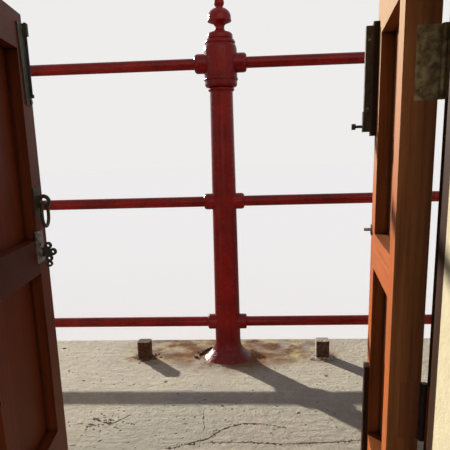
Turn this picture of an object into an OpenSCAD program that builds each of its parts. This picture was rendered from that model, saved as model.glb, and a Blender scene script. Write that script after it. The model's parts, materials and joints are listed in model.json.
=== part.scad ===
// One section of a lighthouse gallery: a length of lantern-base wall with its small
// double door, the concrete walkway in front of it and two bays of cast-iron railing.
// Millimetres. The origin is on the underside of the walkway, on the axis of the
// middle post. X runs along the railing, Y out over the edge, Z up.

/* [Walkway] */
// Thickness of the walkway slab
deck_t = 150; // [100:5:260]
// From the post axis to the outer edge of the slab
deck_out = 237; // [180:1:320]
// From the post axis back to the outer face of the wall
walk_w = 1159; // [1000:1:1600]
// How far slab and wall run past the end posts
deck_past = 150; // [120:5:300]
// Radius of the rounded upper edge of the slab
nosing_r = 28; // [10:1:45]
// Height of the plain band under the nosing
band_h = 70; // [55:1:90]
// How far the band stands out over the slab's foot
band_out = 60; // [20:1:80]

/* [Railing] */
// Distance between post axes
bay_l = 1400; // [1100:10:1800]
// Height of the top rail's axis over the walkway
rail_top_z = 1100; // [1080:1:1180]
// Height of the middle rail's axis over the walkway
rail_mid_z = 617; // [450:1:700]
// Height of the bottom rail's axis over the walkway
rail_low_z = 149; // [130:1:220]
// Diameter of the rails
rail_d = 38; // [30:1:44]
// How deep each rail end seats in its collar
rail_seat = 45; // [25:1:60]
// Clearance round a rail end in its collar
rail_fit = 0.3; // [0.1:0.1:1]

/* [Post] */
// Diameter of the round foot
foot_d = 194; // [170:1:240]
// Thickness of the foot at its rim
foot_rim = 4; // [2:1:14]
// Height of the foot over its rim
foot_h = 76; // [50:1:90]
// Width of the hollow curve between foot and shaft
foot_curve_w = 26; // [15:1:30]
// Height of that curve
foot_curve_h = 52; // [30:1:54]
// Shaft diameter just over the foot
shaft_d0 = 98; // [80:1:110]
// Shaft diameter under the head
shaft_d1 = 82; // [70:1:100]
// Height of the shaft's top over the walkway
shaft_top = 1005; // [960:1:1040]
// Height of the small ring at the shaft's top
ring_band_h = 14; // [8:1:20]
// How far the small ring stands out from the shaft
ring_band_out = 6; // [2:1:10]
// Diameter of the head
head_d = 117; // [100:1:130]
// Height of the bell that widens into the head
bell_h = 10; // [5:1:20]
// Height of the band over the bell
skirt_h = 12; // [6:1:20]
// Thickness of the bead round the head
bead_d = 10; // [6:1:14]
// Height of the head from the bead up
head_h = 93; // [80:1:120]
// Height of the head's rounded shoulder
shoulder_h = 24; // [10:1:40]
// How far the shoulder draws in
shoulder_in = 5; // [2:1:10]
// Thickness of the ring on the shoulder
crown_h = 9; // [5:1:14]
// Height of the cove between that ring and the cap plate
cove_h = 5; // [3:1:10]
// Diameter of the cap plate
cap_d = 90; // [70:1:105]
// Thickness of the cap plate
cap_t = 13; // [8:1:20]
// Height of the dome under the neck
dome_h = 11.5; // [6:0.5:20]
// Diameter of the dome's flat middle, from which the neck rises
dome_flat_d = 56; // [46:1:64]
// Diameter of the neck under the finial
neck_d = 33; // [20:1:40]
// Height of the neck
neck_h = 28.5; // [22:0.5:50]
// Diameter of the flat-bottomed ball of the finial
ball_d = 84; // [60:1:100]
// Height of the ball's conical underside
ball_low_h = 9; // [4:1:16]
// Height of the ball over its rim
ball_h = 43; // [36:1:60]
// Diameter of the small ball on top
tip_d = 36; // [24:1:44]
// Diameter of the top collars
collar_top_d = 66; // [56:1:72]
// Diameter of the lower collars
collar_low_d = 59; // [52:1:66]
// Reach of the top collars from the post's axis
collar_top_l = 92; // [80:1:120]
// Reach of the middle collars
collar_mid_l = 74; // [66:1:100]
// Reach of the bottom collars
collar_low_l = 75; // [66:1:100]
// Length of the rounded nose of a top collar
nose_top_l = 12; // [1:1:15]
// Length of the rounded nose of a middle collar
nose_mid_l = 12; // [1:1:15]
// Length of the rounded nose of a bottom collar
nose_low_l = 6; // [1:1:15]
// Wall left round a rail at a collar's mouth
collar_wall = 4; // [3:0.5:8]

/* [Stubs] */
// Width of the sawn-off square bars in the walkway
stub_w = 50; // [30:1:70]
// Height of the sawn-off bars
stub_h = 70; // [40:1:100]
// Distance of a sawn-off bar from the nearest post axis
stub_off = 353; // [250:1:450]
// Shift of the bars along the railing
stub_shift = 17; // [0:1:40]

/* [Wall] */
// Thickness of the wall
wall_t = 300; // [200:5:450]
// Height of the wall over the walkway
wall_h = 1350; // [1300:5:1800]

/* [Doorway] */
// Clear width between the jambs
door_w = 828; // [700:2:1000]
// Height of the leaves
leaf_h = 1075; // [1000:1:1150]
// Gap between the walkway and the leaves
leaf_z = 20; // [15:1:40]
// Gap round and between the leaves
leaf_gap = 5.5; // [5:0.5:10]
// Thickness of the leaves
leaf_t = 54; // [44:1:60]
// Width of the hinge stiles
hinge_stile_w = 60; // [50:1:95]
// Width of the meeting stiles and of the upper rails
stile_w = 78; // [60:1:95]
// Height of the bottom rail
low_rail_h = 92; // [70:1:120]
// Height of the lock rail's top over the walkway
lock_z = 599; // [480:1:700]
// How deep the panels lie behind the inner face
panel_in = 29; // [15:1:32]
// How deep the panels lie behind the outer face
panel_out = 5; // [2:1:10]
// Depth of the groove that holds the panels
groove_d = 9; // [6:1:14]
// Width of the notch in the left leaf's top corner
notch_w = 28; // [10:1:40]
// Height of that notch
notch_h = 22; // [10:1:40]
// Bevel of the meeting edges, over the leaf's thickness
meet_bevel = 6; // [5:0.5:9]
// Angle at which the leaves stand open
open_angle = 96; // [80:1:110]
// Width of the frame beside each leaf
frame_w = 70; // [50:1:90]
// Depth of the frame
frame_d = 88; // [80:1:130]
// How far the frame's stop stands into the doorway
stop_w = 14; // [10:1:20]
// Gap between a shut leaf and the stop
stop_gap = 5; // [5:0.5:8]
// Height of the sill board
sill_h = 12; // [6:1:14]

/* [Hinges] */
// Height of a hinge
hinge_h = 108; // [80:1:140]
// Width of a hinge plate on the edge of the leaf
hinge_w = 35; // [25:1:40]
// Thickness of a hinge plate
hinge_t = 2.5; // [2:0.1:4]
// Diameter of the knuckles
knuckle_d = 11; // [10:0.5:18]
// Diameter of the hinge pin
pin_d = 6; // [5:0.5:8]
// Clearance round the hinge pin
pin_fit = 0.1; // [0.05:0.01:0.1]
// Gap between two knuckles
knuckle_gap = 0.6; // [0.4:0.1:1]
// Height of the lower hinge's middle over the walkway
hinge_z0 = 331; // [240:1:400]
// Height of the upper hinge's middle over the walkway
hinge_z1 = 906; // [800:1:960]

/* [Bolts] */
// Diameter of the right bolt's rod
rod_d = 10; // [8:0.5:12]
// Diameter of the left bolt's rod
rod_left_d = 6; // [5:0.5:8]
// Clearance round a rod in its guides
rod_fit = 0.1; // [0.05:0.05:0.5]
// Clearance round a rod in the hole of the frame's head
hole_fit = 2; // [1:0.5:3]
// Room over a shot bolt's end in that hole
hole_end = 6; // [5:1:12]
// Width of the timber blocks behind the right leaf's bolts
block_w = 30; // [28:1:44]
// Thickness of the timber blocks
block_t = 12.5; // [10:0.5:20]
// From the leaf's top down to the upper block
block_drop = 47; // [36:1:60]
// Height of the upper block
block_h = 235; // [225:1:255]
// Height of the lower block's foot over the walkway
block_low_z = 45; // [42:1:80]
// Height of the lower block
block_low_h = 237; // [150:1:260]
// From the leaf's top down to the right bolt's case
case_drop = 55; // [50:1:70]
// Height of the right bolt's case
case_h = 218; // [190:1:230]
// Height of the thick foot of the case
case_foot = 43; // [30:1:60]
// How far that foot stands out from the case
case_lip = 2; // [1:0.5:3]
// Width of the case
case_w = 24; // [18:1:24]
// Depth of the case
case_t = 15; // [13:0.5:18]
// Travel of the right bolt
right_travel = 65; // [50:1:70]
// Diameter of the right bolt's knob
knob_d = 13; // [10:0.5:18]
// Thickness of that knob
knob_t = 9; // [6:0.5:12]
// Diameter of the stem that carries the knob
stem_d = 6; // [5:0.5:8]
// Length of that stem from the rod's axis
stem_l = 24; // [22:1:32]
// From the leaf's top down to the left bolt's plate
plate_drop = 22; // [20:1:36]
// Height of the left bolt's plate
plate_h = 170; // [140:1:176]
// Width of the left bolt's plate at its top
plate_w = 49; // [40:1:54]
// Width of the left bolt's plate at its foot
plate_foot_w = 36; // [30:1:48]
// Distance of that plate from the leaf's free edge
plate_in = 20; // [14:1:30]
// Distance of the left rod's axis from the leaf's free edge
rod_in = 28; // [26:1:34]
// Gap between that rod and its plate
rod_gap = 0.5; // [0.3:0.1:1]
// Height of the guide on the plate
guide_h = 26; // [15:1:30]
// Wall of the guide round the rod
guide_wall = 2.5; // [2:0.5:4]
// Diameter of the left bolt's knob
thumb_d = 8; // [6:0.5:10]
// Diameter of the boss at the foot of the left bolt's plate
boss_d = 12; // [8:0.5:14]
// Thickness of the plates on the leaves
plate_t = 3; // [2:0.5:4]
// Travel of the left bolt
left_travel = 32; // [20:1:36]

/* [Ring and lock] */
// Outer diameter of the pull ring
ring_d = 62; // [50:1:66]
// Diameter of the ring's bar
ring_bar = 8; // [6:0.5:9]
// Height of the ring's pivot over the walkway
ring_z = 683; // [660:1:720]
// Gap between the hanging ring and its plate
ring_gap = 10; // [6:0.5:12]
// Distance of the ring's middle from the leaf's free edge
ring_in = 54; // [44:1:60]
// Radius of the eye that the ring hangs in
eye_r = 17; // [15:0.5:24]
// Diameter of the hole in the eye
eye_d = 16; // [14:0.5:20]
// Width of the eye
eye_w = 8; // [6:0.5:10]
// Width of the plate behind the eye
eye_plate_w = 50; // [36:1:60]
// Height of the plate behind the eye
eye_plate_h = 66; // [60:1:90]
// From the ring's pivot up to that plate's top
eye_plate_up = 36; // [26:1:40]
// Width of the lock's plate
lock_w = 53; // [40:1:60]
// Height of the lock's plate
lock_h = 74; // [64:1:85]
// Distance of the lock's plate from the leaf's free edge
lock_in = 41; // [20:1:60]
// Height of the lock plate's foot over the walkway
lock_plate_z = 546; // [520:1:560]
// Width of the raised cover at the lock plate's top
cover_w = 17; // [10:1:24]
// Height of that cover
cover_h = 34; // [20:1:40]
// Height of the turn's axis over the plate's foot
turn_z = 23.5; // [20:0.5:30]
// Diameter of the turn's collar on the plate
turn_neck_d = 22; // [16:1:26]
// Reach of that collar from the plate
turn_neck_l = 10; // [6:1:14]
// Reach of the turn's two side lobes from the plate
turn_side_l = 17; // [14:0.5:22]
// How far the side lobes stand above and below the axis
turn_side_h = 15; // [12:0.5:18]
// Reach of the turn's end lobe from the plate
turn_end_l = 27; // [24:0.5:34]
// Diameter of a lobe
lobe_d = 17; // [13:0.5:20]
// Diameter of the hole in a lobe
lobe_hole = 6; // [4:0.5:8]
// Diameter of the small loop under the turn
loop_d = 14; // [10:0.5:16]
// Thickness of the turn's bow
turn_t = 8; // [5:0.5:12]
// Length of the catch on the right leaf
catch_l = 18; // [12:1:24]
// Height of the catch's bar
catch_h = 6; // [4:0.5:8]
// Height of the catch's foot over the lock rail's top
catch_up = 2; // [0:0.5:6]

/* [Hidden] */
$fn = 48;

// Walkway and wall
half_l = bay_l + deck_past;
slab_y1 = deck_out;
slab_y0 = -walk_w - wall_t;
// Doorway: the jambs stand frame_w wide outside the clear width
jamb_x = door_w / 2;
frame_x = jamb_x + frame_w;
stop_x = jamb_x - stop_w;
leaf_top = leaf_z + leaf_h;
head_z = leaf_top + leaf_gap;
stop_y = leaf_t + stop_gap;
stop_top = head_z - stop_w;
sill_stop = leaf_z + stop_w;
// Leaf, in its own place: the pin's axis is the origin, X to the free edge
leaf_w = (door_w - 3 * leaf_gap) / 2;
pin_out = knuckle_d / 2;
leaf_x0 = leaf_gap / 2;
leaf_x1 = leaf_x0 + leaf_w;
face_out = -pin_out;
face_in = -pin_out - leaf_t;
stile_in = leaf_x0 + hinge_stile_w;
meet_in = leaf_x1 - stile_w;
panel_t = leaf_t - panel_in - panel_out;
panel_y = face_in + panel_in;
lock_z0 = lock_z - stile_w;
top_rail_z = leaf_top - stile_w;
low_rail_top = leaf_z + low_rail_h;
// Pins
pin_x = jamb_x - leaf_gap / 2;
pin_y = -walk_w + pin_out;
knuckles = 5;
knuckle_l = (hinge_h - (knuckles - 1) * knuckle_gap) / knuckles;
knuckle_step = knuckle_l + knuckle_gap;
hinge_zs = [hinge_z0, hinge_z1];
rail_zs = [rail_low_z, rail_mid_z, rail_top_z];
collar_ls = [collar_low_l, collar_mid_l, collar_top_l];
collar_ds = [collar_low_d, collar_low_d, collar_top_d];
nose_ls = [nose_low_l, nose_mid_l, nose_top_l];
// Tops of the posts' feet and caps over the walkway
foot_top = foot_rim + foot_h;
bead_z = shaft_top + ring_band_h + bell_h + skirt_h + bead_d / 2;
crown_z = bead_z + head_h + shoulder_h;
cap_top = crown_z + crown_h + cove_h + cap_t;
// Hardware on the inner faces stays this far inside the free edge
edge_in = meet_bevel + 3;
block_x = leaf_x1 - edge_in - block_w;
block_z = leaf_top - block_drop - block_h;
case_z = leaf_top - case_drop - case_h;
right_rod_x = block_x + block_w / 2;
right_rod_y = face_in - block_t - case_t / 2;
// The right rod starts low in the case, with room for its stem and for its travel
rod_foot = case_z + stem_d / 2 + 0.5;
stem_z = case_z + 1.5 * stem_d + 2.5;
right_rod_h = case_h - 1.5 * stem_d;
plate_z = leaf_top - plate_drop - plate_h;
plate_x = leaf_x1 - plate_in - plate_w;
left_rod_x = leaf_x1 - rod_in;
left_rod_y = face_in - plate_t - rod_left_d / 2 - rod_gap;
// The left rod stands from over the boss to just over its guide
guide_top = plate_z + plate_h + 3;
boss_z = plate_z + boss_d / 2 + 1.5;
left_rod_z = boss_z + boss_d / 2 + 2;
left_rod_top = guide_top + 2;
ring_x = leaf_x1 - ring_in;
ring_y = face_in - plate_t - ring_gap - ring_bar / 2;
// The ring's bar rests just over the foot of the eye's hole
eye_z = ring_z + (eye_d - ring_bar) / 2 - 1;
// A cut runs this far past the faces it opens
past = 1;

// Places the children on the walkway's top
module on_deck() {
    translate([0, 0, deck_t]) children();
}

// An outline in Y and Z, run along X from x0 to x1
module along_x(x0, x1) {
    translate([x0, 0, 0]) rotate([90, 0, 90]) linear_extrude(x1 - x0) children();
}

// The slab's section: flat top, rounded edge, plain band and a cove back to its foot
module slab_outline() {
    foot_y = slab_y1 - band_out;
    cove_r = deck_t - band_h > band_out ? band_out : (deck_t - band_h) * 0.9;
    difference() {
        union() {
            translate([slab_y0, 0]) square([foot_y - slab_y0, deck_t]);
            translate([slab_y0, deck_t - band_h]) square([slab_y1 - slab_y0, band_h]);
            translate([foot_y, deck_t - band_h - cove_r]) square(cove_r);
        }
        translate([foot_y + cove_r, deck_t - band_h - cove_r]) circle(cove_r);
        difference() {
            translate([slab_y1 - nosing_r, deck_t - nosing_r]) square(nosing_r + past);
            translate([slab_y1 - nosing_r, deck_t - nosing_r]) circle(nosing_r);
        }
    }
}

module gallery_deck() {
    color("#C8C3B4") along_x(-half_l, half_l) slab_outline();
}

// A square bar sawn off over the walkway, its corners worn round
module stub() {
    worn = stub_w / 10;
    translate([-stub_w / 2, -stub_w / 2, 0]) linear_extrude(stub_h) difference() {
        square(stub_w);
        for (x = [0, 1], y = [0, 1])
            translate([x * stub_w, y * stub_w]) rotate(45) square(worn * sqrt(2), center = true);
    }
}

module deck_stubs() {
    color("#5A3A28") on_deck()
        for (bay = [-1, 1], side = [-1, 1])
            translate([bay * bay_l / 2 + side * (bay_l / 2 - stub_off) + stub_shift, 0, 0]) stub();
}

// Half of the wall beside the doorway, notched for the frame
module wall_side() {
    translate([0, 0, deck_t]) linear_extrude(wall_h) difference() {
        translate([-half_l, -walk_w - wall_t]) square([half_l - stop_x, wall_t]);
        translate([-frame_x, -walk_w - frame_d]) square([frame_w + stop_w + past, frame_d + past]);
    }
}

module wall_left() {
    color("#E6DCB4") wall_side();
}

module wall_right() {
    color("#E6DCB4") mirror([1, 0, 0]) wall_side();
}

module wall_over_door() {
    color("#E6DCB4") on_deck() {
        translate([-frame_x, -walk_w - frame_d, head_z + frame_w])
            cube([2 * frame_x, frame_d, wall_h - head_z - frame_w]);
        translate([-stop_x, -walk_w - wall_t, stop_top])
            cube([2 * stop_x, wall_t - frame_d, wall_h - stop_top]);
    }
}

// A jamb with its stop; the hinge plates are let into the face beside the leaf
module frame_jamb() {
    on_deck() difference() {
        union() {
            translate([-frame_x, -walk_w - frame_d, 0]) cube([frame_w, frame_d, head_z]);
            translate([-jamb_x - past, -walk_w - frame_d, 0])
                cube([stop_w + past, frame_d - stop_y, head_z]);
        }
        for (z = hinge_zs)
            translate([-jamb_x - hinge_t, -walk_w - hinge_w, z - hinge_h / 2])
                cube([hinge_t + past, hinge_w + past, hinge_h]);
    }
}

module frame_left_jamb() {
    color("#4A2816") frame_jamb();
}

module frame_right_jamb() {
    color("#4A2816") mirror([1, 0, 0]) frame_jamb();
}

module frame_head() {
    color("#4A2816") on_deck() difference() {
        union() {
            translate([-frame_x, -walk_w - frame_d, head_z]) cube([2 * frame_x, frame_d, frame_w]);
            translate([-stop_x, -walk_w - frame_d, stop_top])
                cube([2 * stop_x, frame_d - stop_y, stop_w + past]);
        }
        bolt_hole(left_rod_x - pin_x, left_rod_y, rod_left_d, left_rod_top + left_travel);
        bolt_hole(pin_x - right_rod_x, right_rod_y, rod_d, rod_foot + right_rod_h + right_travel);
    }
}

// A hole in the frame's head over a shut leaf's bolt, whose end rises to the height top
module bolt_hole(x, y, d, top) {
    translate([x, pin_y + y, stop_top - past])
        cylinder(d = d + 2 * hole_fit, h = top + hole_end - stop_top + past);
}

module door_sill() {
    color("#4A2816") on_deck() {
        translate([-jamb_x, -walk_w - stop_y, 0]) cube([2 * jamb_x, stop_y, sill_h]);
        translate([-stop_x, -walk_w - frame_d, 0]) cube([2 * stop_x, frame_d - stop_y, sill_stop]);
    }
}

// Points on an arc about [r, z], with half-axes a and b, from angle t0 to t1
function arc(r, z, a, b, t0, t1, n = 8) =
    [for (i = [0 : n]) let (t = t0 + (t1 - t0) * i / n) [r + a * cos(t), z + b * sin(t)]];

// Outline of the round foot: a thin rim, a straight cone and a hollow curve up to the shaft
module foot_outline() {
    foot_r = foot_d / 2;
    r0 = shaft_d0 / 2;
    polygon(concat(
        [[0, 0], [foot_r, 0], [foot_r - foot_rim / 2, foot_rim]],
        arc(r0 + foot_curve_w, foot_top, foot_curve_w, foot_curve_h, 240, 180),
        [[0, foot_top]]));
}

// Outline of the tapered shaft and its ringed head, up to the cap plate
module post_outline() {
    r0 = shaft_d0 / 2;
    r1 = shaft_d1 / 2;
    head_r = head_d / 2;
    cap_r = cap_d / 2;
    cap_edge = cap_t / 3;
    bell_z = shaft_top + ring_band_h;
    bell_out = head_r - 1 - r1 - ring_band_out;
    shoulder_z = bead_z + head_h;
    crown_r = head_r - shoulder_in;
    crown_in = crown_h / 4;
    cap_z = cap_top - cap_t;
    polygon(concat(
        [[0, foot_top], [r0, foot_top], [r1, shaft_top]],
        arc(r1, shaft_top + ring_band_h / 2, ring_band_out, ring_band_h / 2, -80, 80),
        [[r1 + ring_band_out * 0.6, bell_z]],
        arc(r1 + ring_band_out, bell_z + bell_h, bell_out, bell_h, -60, 0, 4),
        [[head_r - 1, bead_z - bead_d / 2]],
        arc(head_r - 1, bead_z, bead_d / 3, bead_d / 2, -90, 90, 6),
        [[head_r, bead_z + bead_d / 2]],
        arc(head_r - 2 * shoulder_in, shoulder_z, 2 * shoulder_in, shoulder_h, 0, 60, 6),
        arc(crown_r - crown_in, crown_z + crown_h / 2, crown_in, crown_h / 2, -90, 90, 6),
        arc(cap_r, crown_z + crown_h, crown_r - crown_in - cap_r, cove_h, 0, 70, 4),
        [[cap_r - 1, cap_z]],
        arc(cap_r - cap_edge, cap_z + cap_edge, cap_edge, cap_edge, -60, 0, 3),
        [[cap_r, cap_top], [0, cap_top]]));
}

// Outline of the finial: a low dome, a hollow neck, a flat-bottomed ball and a small ball
module finial_outline() {
    neck_r = neck_d / 2;
    ball_r = ball_d / 2;
    tip_r = tip_d / 2;
    neck_z = cap_top + dome_h;
    flat_r = dome_flat_d / 2;
    hollow_r = flat_r - neck_r;
    ball_z = neck_z + neck_h;
    rim_z = ball_z + ball_low_h;
    tip_z = rim_z + ball_h + tip_r * 0.8;
    polygon(concat(
        [[0, cap_top]],
        arc(flat_r, cap_top, cap_d / 2 - flat_r, dome_h, 0, 90, 6),
        arc(flat_r, neck_z + neck_h / 2, hollow_r, neck_h / 2, 262, 115),
        [[neck_r * 1.6, ball_z]],
        arc(ball_r - 3, rim_z - 1, 3, 3, -70, 50, 5),
        arc(0, rim_z + ball_h * 0.25, ball_r - 1.5, ball_h * 0.75, -5, 72, 10),
        arc(0, tip_z, tip_r, tip_r, -44, 90)));
}

// Outline of a collar, its axis upright: a straight sleeve with a rounded nose
module collar_outline(i) {
    mouth_r = rail_d / 2 + rail_fit + collar_wall;
    nose_z = collar_ls[i] - nose_ls[i];
    polygon(concat(
        [[0, 0], [collar_ds[i] / 2, 0]],
        arc(mouth_r, nose_z, collar_ds[i] / 2 - mouth_r, nose_ls[i], 0, 90, 6),
        [[0, collar_ls[i]]]));
}

// One collar that holds a rail end, pointing along +X
module collar(i) {
    rotate([0, 90, 0]) rotate_extrude() collar_outline(i);
}

module post() {
    on_deck() difference() {
        union() {
            rotate_extrude($fn = 64) post_outline();
            for (i = [0 : 2], side = [0, 1])
                translate([0, 0, rail_zs[i]]) mirror([side, 0, 0]) collar(i);
        }
        for (i = [0 : 2], side = [0, 1])
            translate([0, 0, rail_zs[i]]) mirror([side, 0, 0]) rotate([0, 90, 0])
                translate([0, 0, collar_ls[i] - rail_seat])
                    cylinder(d = rail_d + 2 * rail_fit, h = rail_seat + past);
    }
}

module left_post() {
    color("#8C1E1A") translate([-bay_l, 0, 0]) post();
}

module middle_post() {
    color("#8C1E1A") post();
}

module right_post() {
    color("#8C1E1A") translate([bay_l, 0, 0]) post();
}

// Places the children on each post's axis
module on_posts() {
    on_deck() for (i = [-1 : 1]) translate([i * bay_l, 0, 0]) children();
}

module post_feet() {
    color("#8C1E1A") on_posts() rotate_extrude($fn = 64) foot_outline();
}

module post_finials() {
    color("#8C1E1A") on_posts() rotate_extrude($fn = 64) finial_outline();
}

// The rails at one height, one in each bay
module rails(i) {
    end = collar_ls[i] - rail_seat;
    color("#8C1E1A") on_deck() for (x = [-bay_l, 0])
        translate([x + end, 0, rail_zs[i]]) rotate([0, 90, 0]) cylinder(d = rail_d, h = bay_l - 2 * end);
}

// Places a left leaf's parts, drawn shut, at the leaf's open place
module left_leaf() {
    translate([-pin_x, pin_y, deck_t]) rotate([0, 0, open_angle]) children();
}

module right_leaf() {
    mirror([1, 0, 0]) left_leaf() children();
}

// A box of leaf timber from x0 to x1 and z0 to z1 over the full thickness
module timber(x0, x1, z0, z1) {
    translate([x0, face_in, z0]) cube([x1 - x0, leaf_t, z1 - z0]);
}

// The groove that a panel seats in, cut into the edge at x or z
module panel_room(x0, x1, z0, z1) {
    translate([x0, panel_y, z0]) cube([x1 - x0, panel_t, z1 - z0]);
}

module panel_grooves() {
    panel_room(stile_in - groove_d, meet_in + groove_d, low_rail_top - groove_d, lock_z0 + groove_d);
    panel_room(stile_in - groove_d, meet_in + groove_d, lock_z - groove_d, top_rail_z + groove_d);
}

module leaf_hinge_stile() {
    color("#6B3A1E") difference() {
        timber(leaf_x0, stile_in, leaf_z, leaf_top);
        panel_grooves();
        for (z = hinge_zs)
            translate([leaf_x0 - past, face_out - hinge_w, z - hinge_h / 2])
                cube([hinge_t + past, hinge_w + past, hinge_h]);
    }
}

module leaf_meeting_stile(notched) {
    color("#6B3A1E") difference() {
        translate([0, 0, leaf_z]) linear_extrude(leaf_h)
            polygon([[meet_in, face_in], [leaf_x1 - meet_bevel, face_in],
                     [leaf_x1, face_out], [meet_in, face_out]]);
        panel_grooves();
        if (notched) translate([leaf_x1 - notch_w, face_in - past, leaf_top - notch_h])
            cube([notch_w + past, leaf_t + 2 * past, notch_h + past]);
    }
}

module leaf_rail(z0, z1) {
    color("#7A4422") difference() {
        timber(stile_in, meet_in, z0, z1);
        panel_grooves();
    }
}

module leaf_panel(z0, z1) {
    color("#8A4E28")
        panel_room(stile_in - groove_d, meet_in + groove_d, z0 - groove_d, z1 + groove_d);
}

// Knuckle i of the hinge at the height z, made larger all round by grow
module knuckle(z, i, grow) {
    translate([0, 0, z - hinge_h / 2 + i * knuckle_step - grow])
        cylinder(d = knuckle_d + 2 * grow, h = knuckle_l + 2 * grow, $fn = 32);
}

// Half of a hinge: the plate beside x = 0 and the knuckles numbered in list
module hinge_half(z, plate_x, list, has_pin) {
    difference() {
        union() {
            difference() {
                translate([plate_x, face_out - hinge_w, z - hinge_h / 2])
                    cube([hinge_t, hinge_w + pin_out, hinge_h]);
                for (i = [0 : knuckles - 1]) if (len([for (j = list) if (j == i) j]) == 0)
                    knuckle(z, i, knuckle_gap);
            }
            for (i = list) knuckle(z, i, 0);
        }
        if (!has_pin)
            translate([0, 0, z - hinge_h / 2 - past])
                cylinder(d = pin_d + 2 * pin_fit, h = hinge_h + 2 * past, $fn = 32);
    }
    if (has_pin)
        translate([0, 0, z - hinge_h / 2]) cylinder(d = pin_d, h = hinge_h, $fn = 32);
}

module leaf_hinges() {
    color("#6E6440") for (z = hinge_zs) hinge_half(z, leaf_x0, [1, 3], false);
}

module frame_hinges() {
    color("#6E6440") translate([-pin_x, pin_y, deck_t])
        for (z = hinge_zs) hinge_half(z, -leaf_x0 - hinge_t, [0, 2, 4], true);
}

// The two blocks on the right leaf's meeting stile; the upper one packs the bolt off it
module bolt_blocks() {
    color("#5A3018") {
        translate([block_x, face_in - block_t, block_z]) cube([block_w, block_t, block_h]);
        translate([meet_in, face_in - block_t, block_low_z]) cube([block_w, block_t, block_low_h]);
    }
}

// The right bolt's case: a slotted channel with a thicker foot
module bolt_case() {
    front_y = face_in - block_t - case_t;
    color("#4F5138") difference() {
        union() {
            translate([right_rod_x - case_w / 2, front_y, case_z]) cube([case_w, case_t, case_h]);
            translate([right_rod_x - case_w / 2 - case_lip, front_y - case_lip, case_z])
                cube([case_w + 2 * case_lip, case_t + case_lip, case_foot]);
        }
        translate([right_rod_x, right_rod_y, case_z + stem_d / 2])
            cylinder(d = rod_d + 2 * rod_fit, h = case_h);
        translate([right_rod_x - stem_d / 2 - rod_fit, front_y - case_lip - past, case_z + stem_d / 2])
            cube([stem_d + 2 * rod_fit, case_t / 2 + case_lip + past, right_travel + 2 * stem_d]);
    }
}

module right_bolt_rod() {
    color("#5C5A44") {
        translate([right_rod_x, right_rod_y, rod_foot]) cylinder(d = rod_d, h = right_rod_h);
        translate([right_rod_x, right_rod_y, stem_z]) rotate([90, 0, 0]) {
            cylinder(d = stem_d, h = stem_l);
            translate([0, 0, stem_l]) cylinder(d = knob_d, h = knob_t);
        }
    }
}

// The left bolt's tapered plate, with the guide that its rod slides in and a boss at its foot
module bolt_plate() {
    guide_w = rod_left_d + 2 * guide_wall;
    foot_x = plate_x + plate_w - plate_foot_w;
    color("#5E6448") difference() {
        union() {
            translate([0, face_in, plate_z]) rotate([90, 0, 0]) linear_extrude(plate_t)
                polygon([[foot_x, 0], [plate_x + plate_w, 0], [plate_x + plate_w, plate_h],
                         [plate_x, plate_h]]);
            translate([left_rod_x - guide_w / 2, left_rod_y - guide_w / 2, guide_top - guide_h])
                cube([guide_w, face_in - left_rod_y + guide_w / 2, guide_h]);
            translate([left_rod_x, face_in, boss_z]) rotate([90, 0, 0])
                cylinder(d = boss_d, h = 2 * plate_t);
        }
        translate([left_rod_x, left_rod_y, guide_top - guide_h - past])
            cylinder(d = rod_left_d + 2 * rod_fit, h = guide_h + 2 * past);
    }
}

module left_bolt_rod() {
    color("#5E6448") {
        translate([left_rod_x, left_rod_y, left_rod_z])
            cylinder(d = rod_left_d, h = left_rod_top - left_rod_z);
        translate([left_rod_x, left_rod_y, left_rod_z + thumb_d / 2]) rotate([90, 0, 0])
            cylinder(d = thumb_d, h = thumb_d * 0.6);
    }
}

// The pull ring's plate with the eye that the ring hangs in
module ring_plate() {
    color("#3A3A30") difference() {
        union() {
            translate([ring_x - eye_plate_w / 2, face_in - plate_t, ring_z + eye_plate_up - eye_plate_h])
                cube([eye_plate_w, plate_t, eye_plate_h]);
            translate([ring_x - eye_w / 2, 0, eye_z]) rotate([90, 0, 90]) linear_extrude(eye_w)
                intersection() {
                    translate([ring_y + ring_bar / 4, 0]) circle(eye_r);
                    translate([face_in - plate_t - 2 * eye_r + past, -eye_r]) square(2 * eye_r);
                }
        }
        translate([ring_x - eye_w, ring_y, eye_z]) rotate([0, 90, 0]) cylinder(d = eye_d, h = 2 * eye_w);
    }
}

module pull_ring() {
    mid_r = (ring_d - ring_bar) / 2;
    color("#2E2E2A") translate([ring_x, ring_y, ring_z - mid_r]) rotate([90, 0, 0])
        rotate_extrude() translate([mid_r, 0]) circle(d = ring_bar, $fn = 24);
}

// A lobe or loop of the turn's bow, r out from the plate and h over the axis
module lobe(r, h, d) {
    translate([r, h]) circle(d = d, $fn = 32);
}

// The turn's bow, lying in X and Y with its axis along X: three pierced lobes and a loop
module turn_bow() {
    loop_h = -turn_side_h - (lobe_d + loop_d) / 2 + 2;
    difference() {
        union() {
            lobe(turn_end_l, 0, lobe_d);
            for (h = [-turn_side_h, turn_side_h]) lobe(turn_side_l, h, lobe_d);
            translate([turn_side_l - lobe_d / 4, -turn_side_h]) square([lobe_d / 2, 2 * turn_side_h]);
            translate([0, -lobe_d / 4]) square([turn_end_l, lobe_d / 2]);
            lobe(turn_side_l, loop_h, loop_d);
        }
        lobe(turn_end_l, 0, lobe_hole);
        for (h = [-turn_side_h, turn_side_h]) lobe(turn_side_l, h, lobe_hole);
        lobe(turn_side_l, loop_h, lobe_hole);
    }
}

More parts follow.
